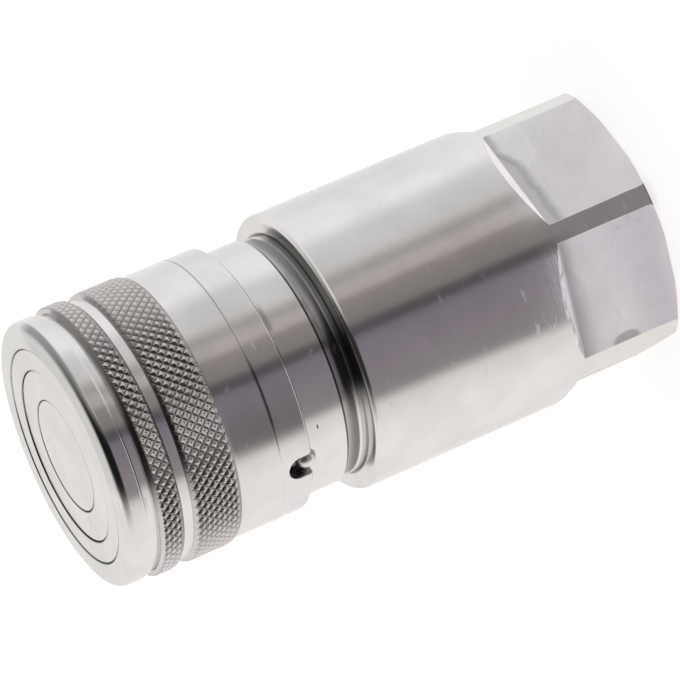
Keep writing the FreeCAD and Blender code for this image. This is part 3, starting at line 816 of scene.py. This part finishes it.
# %% Finish of the sleeve and its knurl
def sleeve_painted_shade(radius, height, bearing):
    """Painted shade in the gap of the sleeve's face, in the groove in front of the knurl, in the fine line
    near its rear edge and on the walls of the notch, and on one side of the edge of its nose and of its plain
    rear part."""
    # every mask here is painted shade, some of it only on one side of the coupling
    dark_side = shaded_side(bearing)
    gap = gap_shade_rings(radius, bearing, sleeve_gap) * near_face(height)
    fine_line = line(height, behind(turned_line), 0.14) * ramp(bearing, -134.0, -122.0, at_low=0.1)
    line_shade = line(height, behind(turned_line), 0.34) * between(bearing, -121.0, -112.0, -95.0, -82.0)
    side_shade = between(bearing, -128.0, -121.0, -117.0, -95.0) * fall(height, behind(17.0), behind(16.4))
    notch = fall(radius, 18.75, 18.9) * line(height, behind(25.6), 2.4)
    nose_edge = line(height, behind(0.5), 0.65) * dark_side
    groove = line(height, behind(first_band[0]), 0.4) * (dark_side * 0.4 + 0.05)
    return dirt_and_shade((gap, 1.0), (fine_line, 0.5), (notch, 0.7), (nose_edge, 0.6),
                   (line_shade, 0.5), (groove, 1.0), (side_shade, 0.32))


def knurl_painted_shade_and_light(radius, height, bearing):
    """Painted shade in the grooves of the knurl, lighter towards the tips. The front chamfers of both bands
    get painted shade on one side and are painted lighter on the other."""
    dark_side = shaded_side(bearing)
    first_chamfer, second_chamfer, half_width = behind(4.8), behind(9.8), 0.45
    chamfer = line(height, first_chamfer, half_width) + line(height, second_chamfer, half_width)
    # painted shade deep in the knurl's grooves, and a painted lighter chamfer on the unshaded side
    crevice_shade = ramp(radius, 19.12, 19.40, at_low=0.46, at_high=0.88)
    shade_and_chamfer_light = maths("MAXIMUM", crevice_shade, chamfer * (1 - dark_side) * 0.82)
    return shade_and_chamfer_light * dirt_and_shade((chamfer * dark_side, 0.4))


sleeve_steel = steel("sleeve steel", **polished, depth=0.45, shade=sleeve_painted_shade)
knurled_steel = steel(
    "knurled steel", pale=(0.86, 0.83, 0.81), deep=(0.78, 0.75, 0.73), smooth=0.24, rough=0.34,
    rings_per_mm=3.0, depth=0.15, shade=knurl_painted_shade_and_light)

# %% Lay the quads of the knurl along its grooves
sleeve_quads = quads_of(*sleeve_points.shape[:2])
row, column = np.divmod(np.arange(len(sleeve_quads)), sleeve_columns)


def in_bands(before, after):
    """True on the quads of both knurled bands, with so many rows more before and after them."""
    first = (row >= ends["front"] - before) & (row < ends["first knurl"] + after)
    second = (row >= ends["grip groove"] - before) & (row < ends["second knurl"] + after)
    return first | second


length_step = np.round(sleeve_section[:, 0, 1] * knurl_points * knurl_per_mm).astype(int)
in_knurl = in_bands(before=0, after=-1)
leans_left = in_knurl & ((column + length_step[row]) % knurl_points == 0)
sleeve_quads[leans_left] = np.roll(sleeve_quads[leans_left], -1, axis=1)
add_piece(
    "locking_sleeve_skin", sleeve_points, sleeve_quads, "sleeve", "turned_steel",
    [sleeve_steel, knurled_steel], ["locking_sleeve"], flat=in_knurl, second=in_bands(before=3, after=2))


# %% [markdown]
# ## Valve sleeve and stem
# Together they close the flat face: the stem stands still in the middle, and the valve sleeve slides back
# when a plug is pushed in. Both are plain lathe work. The stem's tail carries a thread for its nut, seen
# from the port end, which is the same kind of ridge as in the port but cut into the outside.

# %% Valve sleeve
def face_gap_shade(radius, height, bearing):
    """Stem and valve sleeve: painted shade in the gaps round them."""
    # painted shade in the gaps
    return 1 - gap_shade_rings(radius, bearing, stem_gap, valve_gap)


faced_steel = steel(
    "faced steel", pale=(0.84, 0.83, 0.82), deep=(0.77, 0.76, 0.75), smooth=0.24, rough=0.34,
    rings_per_mm=4.0, depth=0.2, shade=face_gap_shade)
round_columns = 240
round_bearing = 2 * np.pi * np.arange(round_columns) / round_columns
small_round = 0.04
valve_face = behind(0.25)
valve_radius = 12.25
valve_bore = 8.05
bore_end = behind(5.6)
chamber_radius = 10.5
chamber_start = behind(8.1)
flange_radius = 14.1
flange_front = behind(20.1)
flange_rear = behind(22.6)
valve_corners = [(radius, height, small_round) for radius, height in (
    (valve_bore + face_break, valve_face), (valve_radius - face_break, valve_face),
    (valve_radius, valve_face - face_break), (valve_radius, flange_front), (flange_radius, flange_front),
    (flange_radius, flange_rear), (chamber_radius, flange_rear), (chamber_radius, chamber_start),
    (valve_bore, bore_end), (valve_bore, valve_face - face_break))]
valve_points = turned_points(rows_of(rounded(valve_corners)), round_bearing)
add_piece(
    "valve_sleeve_skin", valve_points, quads_of(*valve_points.shape[:2]), "valve", "turned_steel",
    [faced_steel], ["valve_sleeve"])

# %% Stem
stem_face = behind(0.3)
stem_radius = 7.95
head_rear = behind(5.2)
seal_groove_radius = 6.55
groove_front, groove_rear = behind(1.8), behind(4.2)
shank_radius = 4.6
shank_front, shank_rear = behind(9.5), behind(50.3)
stem_thread_radius = 4.0
stem_thread_height = 0.45
stem_thread_pitch = 1.25
thread_end, stem_end = behind(63.1), behind(63.9)
stem_end_radius = 3.2
stem_corners = [(radius, height, small_round) for radius, height in (
    (0, stem_face), (stem_radius - face_break, stem_face), (stem_radius, stem_face - face_break),
    (stem_radius, groove_front), (seal_groove_radius, groove_front), (seal_groove_radius, groove_rear),
    (stem_radius, groove_rear), (stem_radius, head_rear), (shank_radius, shank_front),
    (shank_radius, shank_rear), (stem_thread_radius, shank_rear), (stem_thread_radius, thread_end),
    (stem_end_radius, stem_end), (0, stem_end))]
thread_corner = 11
stem_arcs = rounded(stem_corners)
stem_thread_steps = 90
stem_thread_rows = np.linspace(shank_rear - 0.3, thread_end + 0.2, stem_thread_steps)[:, None]
stem_thread = thread_radius(
    round_bearing, stem_thread_rows, stem_thread_radius, stem_thread_height, stem_thread_pitch,
    thread_end, shank_rear - 0.7)
stem_blocks = (
    at_columns(stem_corners[:1], 1), rows_of(stem_arcs[1:thread_corner]),
    together(stem_thread, stem_thread_rows),
    rows_of(stem_arcs[thread_corner:-1]), at_columns(stem_corners[-1:], 1))
stem_section = np.concatenate([
    np.broadcast_to(block, (len(block), len(round_bearing), 2)) for block in stem_blocks])
stem_points = turned_points(stem_section, round_bearing)
add_piece(
    "valve_stem_skin", stem_points, quads_of(*stem_points.shape[:2], closed=False), "coupling_body",
    "turned_steel", [faced_steel], ["valve_stem"])


# %% [markdown]
# ## Front body, spider and nut
# These have drilled holes, which a plain grid can't carry, so they keep the triangles of the CAD node. A
# merged copy is shaded as what it is: on a turned face the normal at each corner points along that corner's
# own bearing, and only its tilt comes from the triangles. Smooth shading alone would leave faint stripes.

# %% The normals of a turned surface
def numbers(things, label, size, kind=np.float32):
    """One property of all the points, corners or faces of a mesh, a row for each."""
    values = np.zeros(len(things) * size, kind)
    things.foreach_get(label, values)
    return values.reshape(-1, size)


def turned_normals(mesh):
    """A corner at bearing b gets (s cos b, s sin b, t). The tilt t is 0 on a triangle whose corners share one
    radius, 1 or -1 where they share one height, and that of the smoothed triangles on cones and rounds, with
    s = sqrt(1 - t^2). The walls of drilled holes keep their smoothed normals. Arrays have the shape
    (triangle, corner, axis). The share of the triangles that are turned comes back too."""
    same, slight = 1e-6, 0.06
    smoothed = numbers(mesh.corner_normals, "vector", 3).reshape(-1, 3, 3)
    facet = numbers(mesh.polygons, "normal", 3)
    owner = numbers(mesh.loops, "vertex_index", 1, np.int32).reshape(-1, 3)
    at = numbers(mesh.vertices, "co", 3)[owner]
    same_radius = np.ptp(np.hypot(at[..., 0], at[..., 1]), axis=1) < same
    same_height = np.ptp(at[..., 2], axis=1) < same
    middle = at.sum(axis=1)
    middle_bearing = np.arctan2(middle[:, 1], middle[:, 0])
    sideways = facet[:, 1] * np.cos(middle_bearing) - facet[:, 0] * np.sin(middle_bearing)
    turned = same_radius | same_height | (np.abs(sideways) < slight)
    tilt = np.where(same_radius[:, None], 0, smoothed[..., 2])
    tilt = np.where(same_height[:, None], np.sign(facet[:, 2:]), tilt)
    bearing = np.arctan2(at[..., 1], at[..., 0])
    across = np.stack([np.cos(bearing), np.sin(bearing)], -1)
    outwards = np.sign((facet[:, None, :2] * across).sum(-1))
    share = np.sqrt(np.clip(1 - tilt ** 2, 0, 1)) * outwards
    normals = np.concatenate([across * share[..., None], tilt[..., None]], -1)
    return np.where(turned[:, None, None], normals, smoothed).reshape(-1, 3), turned.mean()


def turned_copy(node, name, body, material):
    """A merged copy of a CAD node, shaded as a turned piece."""
    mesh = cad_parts[node].data.copy()
    merge_points(mesh, distance=1e-7)
    mesh.name = name
    mesh.shade_smooth()
    mesh.set_sharp_from_angle(angle=np.radians(28))
    normals, turned_share = turned_normals(mesh)
    mesh.normals_split_custom_set(normals.tolist())
    mesh.materials.clear()
    print(f"{node}: {turned_share:.0%} of the triangles lie on turned faces")
    join_frame(name, mesh, body, [material], [node])


# %% Front body
collar_rear = behind(33.76)


def recess_painted_shade_and_pit(radius, height, bearing):
    """Painted shade darkens the flare behind the collar, the collar's rear edge, the pocket under the notch
    and the gaps of the face; the rim where the flare ends stays lighter except on the shaded side. The collar
    has one dark pit and a painted shadow behind the sleeve's edge."""
    # painted shade in the flare behind the collar
    flare = ramp(height, behind(35.2), behind(33.7), at_low=0.28, at_high=0.66)
    rim = ramp(radius, 17.0, 17.15) * fall(height, behind(35.3), behind(34.9))
    rim_unshaded = rim * (1 - shaded_side(bearing) * 0.68)
    collar = ramp(height, collar_rear, collar_rear + 0.1)
    recess = maths("MAXIMUM", flare, maths("MAXIMUM", rim_unshaded, collar))
    # painted shade on the collar's rear edge, in the pocket and under the notch
    collar_edge = line(height, collar_rear + 0.21, 0.3)
    pocket = line(height, behind(22.4), 3.2) * ramp(radius, 15.6, 15.9)
    pit = spot(bearing, height, at_bearing=-127.0, at_height=55.1, across=0.42, along=0.16)
    under_notch = spot(bearing, height, at_bearing=-142.3, at_height=behind(26.2), across=1.7, along=2.0)
    # painted shadow on the collar behind the sleeve's rear edge
    sleeve_edge_shadow = line(height, behind(27.6), 1.1) * line(bearing, -73.5, 9.0)
    gaps = gap_shade_rings(radius, bearing, valve_gap, sleeve_gap) * near_face(height)
    return recess * dirt_and_shade((collar_edge, 0.55), (pocket, 0.92), (pit, 0.75), (under_notch, 0.8),
                            (sleeve_edge_shadow, 0.4), (gaps, 1.0))


front_steel = steel("front body steel", **polished, depth=0.45, shade=recess_painted_shade_and_pit)
turned_copy("front_body", "front_body_skin", "coupling_body", front_steel)

# %% Spider and nut
bored_steel = steel(
    "bored steel", pale=(0.66, 0.65, 0.64), deep=(0.55, 0.54, 0.53), smooth=0.25, rough=0.40,
    rings_per_mm=3.0, depth=0.4)
nut_steel = steel(
    "nut steel", pale=(0.62, 0.61, 0.59), deep=(0.50, 0.49, 0.47), smooth=0.25, rough=0.38,
    rings_per_mm=5.0, depth=0.3)
turned_copy("stem_spider", "stem_spider_skin", "coupling_body", bored_steel)
turned_copy("stem_nut", "stem_nut_skin", "coupling_body", nut_steel)


# %% [markdown]
# ## Balls and springs
# The balls are bearing balls, ground and polished, and the one in the collar is dulled by use. Each spring is
# one round wire wound on a cylinder, a circle carried along a helix, and it closes up as its joint moves.
# A Screw modifier could wind the wire too, with open ends.

# %% Balls
def balls_at(centres, radius, rows=24, columns=40):
    """Each ball is centre + radius * (sin p cos q, sin p sin q, cos p), with p over 0 to pi and q round."""
    p = np.linspace(0, np.pi, rows)[:, None]
    q = 2 * np.pi * np.arange(columns) / columns
    unit = together(np.sin(p) * np.cos(q), np.sin(p) * np.sin(q), np.cos(p)).reshape(-1, 3)
    points = (centres[:, None] + radius * unit).reshape(-1, 3)
    quads = quads_of(rows, columns, closed=False)
    return points, (np.arange(len(centres))[:, None, None] * len(unit) + quads).reshape(-1, 4)


def ring_of(count, circle, height):
    """Centres at even bearings round the axis, the first on the notch's bearing."""
    bearing = notch_bearing + 2 * np.pi * np.arange(count) / count
    return together(circle * np.cos(bearing), circle * np.sin(bearing), height)


ball_steel = steel(
    "ball steel", pale=(0.78, 0.78, 0.79), deep=(0.70, 0.70, 0.71), smooth=0.05, rough=0.09,
    rings_per_mm=2.0, depth=0.05)
dulled_ball_steel = steel(
    "dulled ball steel", pale=(0.82, 0.81, 0.80), deep=(0.74, 0.73, 0.72), smooth=0.30, rough=0.40,
    rings_per_mm=2.0, depth=0.05)
safety_ball_ring = ring_of(count=1, circle=17.4, height=behind(27.0))
locking_ball_ring = ring_of(count=12, circle=14.55, height=behind(6.0))
add_piece(
    "safety_ball_skin", *balls_at(safety_ball_ring, radius=1.5), "coupling_body",
    "ball_steel", [dulled_ball_steel], ["safety_ball"])
add_piece(
    "locking_balls_skin", *balls_at(locking_ball_ring, radius=2.25), "coupling_body",
    "ball_steel", [ball_steel], ["locking_balls"])


# %% Springs
def coil(coil_radius, wire, turns, low, high, steps_a_turn=72, around=14):
    """A circle of the wire's radius in the plane of the axis, carried up a right-hand helix from low to high.
    A last ring of no size closes each end."""
    turn = np.linspace(0, turns, int(turns * steps_a_turn) + 1)
    turn = np.concatenate([turn[:1], turn, turn[-1:]])[:, None]
    size = np.full(len(turn), wire)[:, None]
    size[[0, -1]] = 0
    q = 2 * np.pi * np.arange(around) / around
    radius = coil_radius + size * np.cos(q)
    height = low + wire + (high - low - 2 * wire) * turn / turns + size * np.sin(q)
    return turned_points(together(radius, height), 2 * np.pi * turn)


def add_spring(name, points, node):
    """A wound wire that stands for a spring of the CAD."""
    quads = quads_of(*points.shape[:2], closed=False)
    return add_piece(name, points, quads, "coupling_body", "spring_steel", [spring_steel], [node])


spring_steel = steel(
    "spring steel", pale=(0.46, 0.45, 0.44), deep=(0.34, 0.33, 0.33), smooth=0.22, rough=0.34,
    rings_per_mm=8.0, depth=0.3)
sleeve_foot, sleeve_head, sleeve_stroke = 17.5, 12.14, 1.5
valve_foot, valve_head, valve_stroke = 50.3, 22.64, 15.0
sleeve_coil = coil(coil_radius=16.55, wire=0.55, turns=3, low=behind(sleeve_foot), high=behind(sleeve_head))
valve_coil = coil(coil_radius=12.6, wire=0.9, turns=6, low=behind(valve_foot), high=behind(valve_head))
sleeve_spring = add_spring("sleeve_spring_coil", sleeve_coil, "sleeve_spring")
valve_spring = add_spring("valve_spring_coil", valve_coil, "valve_spring")
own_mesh(sleeve_spring)
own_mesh(valve_spring)


# %% [markdown]
# ## Rings and seals
# The rest stays as the CAD has it, because plain rings have the right shape already, and gets its finish:
# black nitrile rubber for the seals, ivory plastic for the rings behind them, bright wire and washers.
# Moulded rubber and plastic have a fine grain, which shows in the colour and the gloss alike.

# %% Rubber and plastic
def soft_material(name, pale, deep, smooth, rough, grain):
    """A seal's material: colour and roughness both follow a fine grain, with a slight bump."""
    material, tree, shader = new_material(name)
    grains = noise(object_place(tree), grain)
    colour, roughness = two_tone(grains, deep, pale), spread(grains, smooth, rough)
    finish_with(shader, colour, roughness, bumped(grains, strength=0.2))
    return material


seal_rubber = soft_material(
    "seal rubber", pale=(0.035, 0.034, 0.033), deep=(0.018, 0.017, 0.017), smooth=0.42, rough=0.58,
    grain=1800.0)
backup_plastic = soft_material(
    "backup plastic", pale=(0.83, 0.80, 0.72), deep=(0.76, 0.72, 0.63), smooth=0.32, rough=0.45, grain=900.0)

# %% Finish the nodes that stay
ring_finish = {
    "stem_seal": seal_rubber,
    "plug_seal": seal_rubber,
    "body_o_ring": seal_rubber,
    "stem_backup_ring": backup_plastic,
    "plug_backup_ring": backup_plastic,
    "body_backup_ring": backup_plastic,
    "sleeve_stop_ring": spring_steel,
    "spring_thrust_washer": bored_steel,
    "stem_lock_washer": nut_steel,
}
for node, material in ring_finish.items():
    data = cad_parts[node].data
    data.materials.clear()
    data.materials.append(material)
print("finished nodes:", ", ".join(ring_finish))


# %% [markdown]
# ## Table, cards and light
# Bright metal looks like whatever stands round it. A product photographer puts it in a white tent and then
# adds cards: a dark one near the camera draws the dark band along a round bar, and grey ones shade its edges.
# The cards here lie on the table round the coupling, as sectors round its axis: far ones for the long bands,
# near ones and small ones at its foot for what its lower end mirrors. The tent stands above them and is dark
# where the photographer stands. Cards and tent show only in reflections. A lamp alone would give a small
# hot spot on the steel and leave the rest of it black.

# %% Where the camera stands
camera_bearing = -94.128
camera_elevation = 18.714
camera_roll = -113.310
camera_distance = 677.795
camera_aim = Vector((-0.241, 0.017, 42.432))
photo_width = 680
focal_pixels = 5000


def camera_axes(bearing, elevation, roll):
    """Right, up and back of a camera that looks from a bearing and an elevation and is then rolled about its
    line of sight."""
    b, e, r = np.radians([bearing, elevation, roll])
    back = Vector((np.cos(b) * np.cos(e), np.sin(b) * np.cos(e), np.sin(e)))
    level = Vector((0, 0, 1)).cross(back).normalized()
    upright = back.cross(level)
    return level * np.cos(r) + upright * np.sin(r), upright * np.cos(r) - level * np.sin(r), back


right, up, back = camera_axes(camera_bearing, camera_elevation, camera_roll)
camera_place = Matrix.Translation((camera_aim + back * camera_distance) * mm)
camera_data = bpy.data.cameras.new("product camera")
camera_data.sensor_width = 36.0
camera_data.lens = camera_data.sensor_width * focal_pixels / photo_width
camera = bpy.data.objects.new("product camera", camera_data)
camera.matrix_world = camera_place @ Matrix((right, up, back)).transposed().to_4x4()
bpy.context.scene.collection.objects.link(camera)
bpy.context.scene.camera = camera
print(f"lens {camera_data.lens:.1f} mm, {camera_distance:.0f} mm away")


# %% Materials of the table and the cards
def seen_directly(tree):
    """1 for camera, glossy and transmitted rays, 0 for the light that falls on things."""
    path = tree.nodes.new("ShaderNodeLightPath").outputs
    either = maths("MAXIMUM", Field(path["Is Camera Ray"]), Field(path["Is Glossy Ray"]))
    return maths("MAXIMUM", either, Field(path["Is Transmission Ray"]))


def glowing_material(name):
    """A material without its Principled shader, its tree and the socket for its surface."""
    material, tree, _ = new_material(name)
    tree.nodes.remove(tree.nodes["Principled BSDF"])
    return material, tree, tree.nodes["Material Output"].inputs["Surface"]


def table_material():
    """A matt white table that also glows to the rays that see it, so it is white and still takes a shadow."""
    material, tree, surface = glowing_material("white table")
    matt = add_node(tree, "BsdfDiffuse", {"Color": (0.26, 0.26, 0.26, 1)})
    strength = seen_directly(tree) * 0.80
    glow = add_node(tree, "Emission", {"Color": (1.0, 0.985, 0.97, 1), "Strength": strength})
    feed(surface, add_node(tree, "AddShader", {0: matt, 1: glow}))
    return material


def card_material():
    """A card glows in the colour that its points carry, so that one card can shade from edge to edge."""
    material, tree, surface = glowing_material("shaded card")
    colour = add_node(tree, "VertexColor", {}, "Color", layer_name="card colour")
    feed(surface, add_node(tree, "Emission", {"Color": colour}))
    return material


white_table = table_material()
shaded_card = card_material()
print("stage materials:", white_table.name, "and", shaded_card.name)


# %% The table
def stage_mesh(name, points, quads, material):
    """A mesh from points in mm that belongs to the stage and not to the coupling."""
    mesh = bpy.data.meshes.new(name)
    mesh.from_pydata((points * mm).tolist(), [], quads.tolist())
    mesh.materials.append(material)
    thing = bpy.data.objects.new(name, mesh)
    bpy.context.scene.collection.objects.link(thing)
    return thing


table_half = 4000.0
table_height = -0.3
table_corners = np.array([(-1, -1), (1, -1), (1, 1), (-1, 1)]) * table_half
table_points = np.column_stack([table_corners, np.full(4, table_height)])
stage_mesh("table", table_points, np.array([[0, 1, 2, 3]]), white_table)


# %% Cards as sectors round the coupling
def card_mesh(name, points, colours):
    """A grid of points with a colour for each, which shows only in reflections."""
    quads = quads_of(*points.shape[:2], closed=False, ring=False)
    card = stage_mesh(name, points.reshape(-1, 3), quads, shaded_card)
    attribute = card.data.color_attributes.new("card colour", "FLOAT_COLOR", "POINT")
    attribute.data.foreach_set("color", colours.ravel())
    card.visible_camera = card.visible_diffuse = card.visible_shadow = False
    return card


def fan(name, first, last, rings, first_colour, last_colour=None, steps=16):
    """A surface through rings of (radius, shade) on the table, from the bearing 2*first to 2*last away from
    the camera. A vertical bar shows it between the bearings first and last, because a mirror doubles the
    angle. Its colour runs from the first edge to the last, times the shade of each ring."""
    card_height = -0.1
    radius, shade = np.array(rings).T[..., None]
    share = np.linspace(0, 1, steps)
    bearing = np.radians(camera_bearing - 2 * (first + (last - first) * share))
    points = turned_points(together(radius, card_height), bearing)
    edges = np.array([first_colour, last_colour or first_colour])
    colour = edges[0] * (1 - share[:, None]) + edges[1] * share[:, None]
    shaded = colour * shade[..., None]
    return card_mesh(name, points, np.concatenate([shaded, np.ones((*shaded.shape[:2], 1))], -1))


# %% Far cards
near_reach = 60.0
far_reach = 1500.0
far_rings = [(near_reach, 1), (far_reach, 1)]
far_cards = [
    ("white card", -80, -64, (1.08, 1.07, 1.06), (0.94, 0.93, 0.94)),
    ("cool card", -64, -43, (0.94, 0.93, 0.94), (1.01, 0.995, 1.02)),
    ("cool edge", -43, -36, (1.01, 0.995, 1.02), (0.72, 0.71, 0.73)),
    ("pale card", -36, -25, (0.72, 0.71, 0.73), (0.70, 0.69, 0.68)),
    ("pale edge", -25, -21, (0.70, 0.69, 0.68), (0.40, 0.38, 0.36)),
    ("thin card", -21, -18, (0.40, 0.38, 0.36), (0.43, 0.40, 0.39)),
    ("grey card", -18, -12.5, (0.53, 0.49, 0.47), (0.51, 0.47, 0.46)),
    ("dim card", -12.5, -2.5, (0.30, 0.27, 0.26), (0.25, 0.23, 0.22)),
    ("camera gap", -2.5, 2, (0.09, 0.08, 0.09)),
    ("lilac card", 2, 25.3, (0.23, 0.20, 0.24), (0.30, 0.27, 0.28)),
    ("lilac edge", 25.3, 29, (0.32, 0.29, 0.29), (0.83, 0.79, 0.77)),
    ("warm edge", 29, 40, (0.83, 0.79, 0.77), (1.0, 0.95, 0.93)),
    ("warm card", 40, 80, (1.0, 0.95, 0.93), (1.06, 1.02, 1.0)),
]
cards = [fan(name, first, last, far_rings, *colours) for name, first, last, *colours in far_cards]
print("far cards:", ", ".join(card.name for card in cards))

# %% Near cards and foot cards
foot_reach = 21.0
strip_reach = 26.0
near_rings = [(foot_reach, 1), (near_reach, 1)]
foot_rings = [(0, 1), (foot_reach, 1)]
strip_rings = [(strip_reach, 1), (near_reach, 1)]
strip_foot = [(foot_reach, 1), (strip_reach, 1)]
base_rings = [(foot_reach, 0.78), (31, 0.76), (38, 1), (near_reach, 1)]
cool, dim, lilac, warm = (0.79, 0.77, 0.80), (0.27, 0.25, 0.25), (0.92, 0.87, 0.92), (1.02, 0.98, 0.95)
near_cards = [
    ("near white card", -80, -34, near_rings, (1.06, 1.05, 1.03), (1.0, 0.99, 0.98)),
    ("near cool card", -34, -9.5, near_rings, cool),
    ("near dim card", -9.5, 2.5, strip_rings, dim),
    ("near dim foot", -6.5, 1.5, strip_foot, dim),
    ("near foot left", -9.5, -6.5, strip_foot, cool),
    ("near foot right", 1.5, 2.5, strip_foot, lilac),
    ("near lilac card", 2.5, 29, base_rings, lilac),
    ("near warm card", 29, 80, near_rings, warm),
    ("foot card far left", -90, -34, foot_rings, (1.05, 1.04, 1.02)),
    ("foot card left", -34, -5, foot_rings, (0.83, 0.81, 0.83)),
    ("foot card middle", -5, 0.5, foot_rings, (0.12, 0.11, 0.11)),
    ("foot card right", 0.5, 29, foot_rings, (0.80, 0.75, 0.79)),
    ("foot card far right", 29, 90, foot_rings, warm),
]
cards += [fan(*card) for card in near_cards]
print("near cards:", ", ".join(card[0] for card in near_cards))


# %% The tent above the table
def turned_from(bearing, middle):
    """Degrees from a middle bearing, between -180 and 180."""
    return (bearing - middle + 180) % 360 - 180


def tent_light(bearing, elevation):
    """Light of the tent towards a bearing and an elevation in degrees. It is 0.98, but only 0.03 round the
    photographer, at 22 degrees beside the camera and 32 up, and comes back over a soft edge. A grey place
    lies up on the other side."""
    dark, full = 0.03, 0.98
    photographer_side, photographer_up = 22, 32
    dark_width, dark_height, dark_reach, soft_edge = 0.85, 1.9, 22, 48
    grey_side, grey_up, grey_reach, grey_share = 70, 60, 35, 0.6
    narrowing = np.cos(np.radians(elevation))
    beside = turned_from(bearing, camera_bearing - photographer_side) * narrowing
    from_dark = np.hypot(beside / dark_width, (elevation - photographer_up) / dark_height)
    share = np.clip((from_dark - dark_reach) / soft_edge, 0, 1)
    light = dark + (full - dark) * share ** 2 * (3 - 2 * share)
    from_grey = np.hypot(turned_from(bearing, camera_bearing + grey_side) * narrowing, elevation - grey_up)
    return light * (1 - grey_share * np.exp(-(from_grey / grey_reach) ** 2))


tent_bearing = np.linspace(-180, 180, 91)
tent_elevation = np.linspace(0, 90, 31)[:, None]
rise, ring = np.radians(tent_elevation), np.radians(tent_bearing)
tent_points = turned_points(far_reach * together(np.cos(rise), np.sin(rise)), ring)
tent_white = np.array([1.0, 0.985, 0.96, 1.0])
tent_colours = tent_light(tent_bearing, tent_elevation)[..., None] * tent_white
card_mesh("tent", tent_points, tent_colours)
print(f"tent light from {tent_colours.min():.2f} to {tent_colours.max():.2f}")

# %% Light all round
world = bpy.data.worlds.new("white tent")
world.use_nodes = True
world_light = world.node_tree.nodes["Background"].inputs
world_light["Color"].default_value = (1.0, 0.99, 0.97, 1)
world_light["Strength"].default_value = 0.95
bpy.context.scene.world = world
bpy.context.scene.view_settings.view_transform = "Standard"
print("world:", world.name)

# %% [markdown]
# ## The CAD box
# The box of the CAD nodes is printed in mm.

# %% Print the CAD box
print("CAD box", [round(value / mm, 2) for corner in cad_box for value in corner])
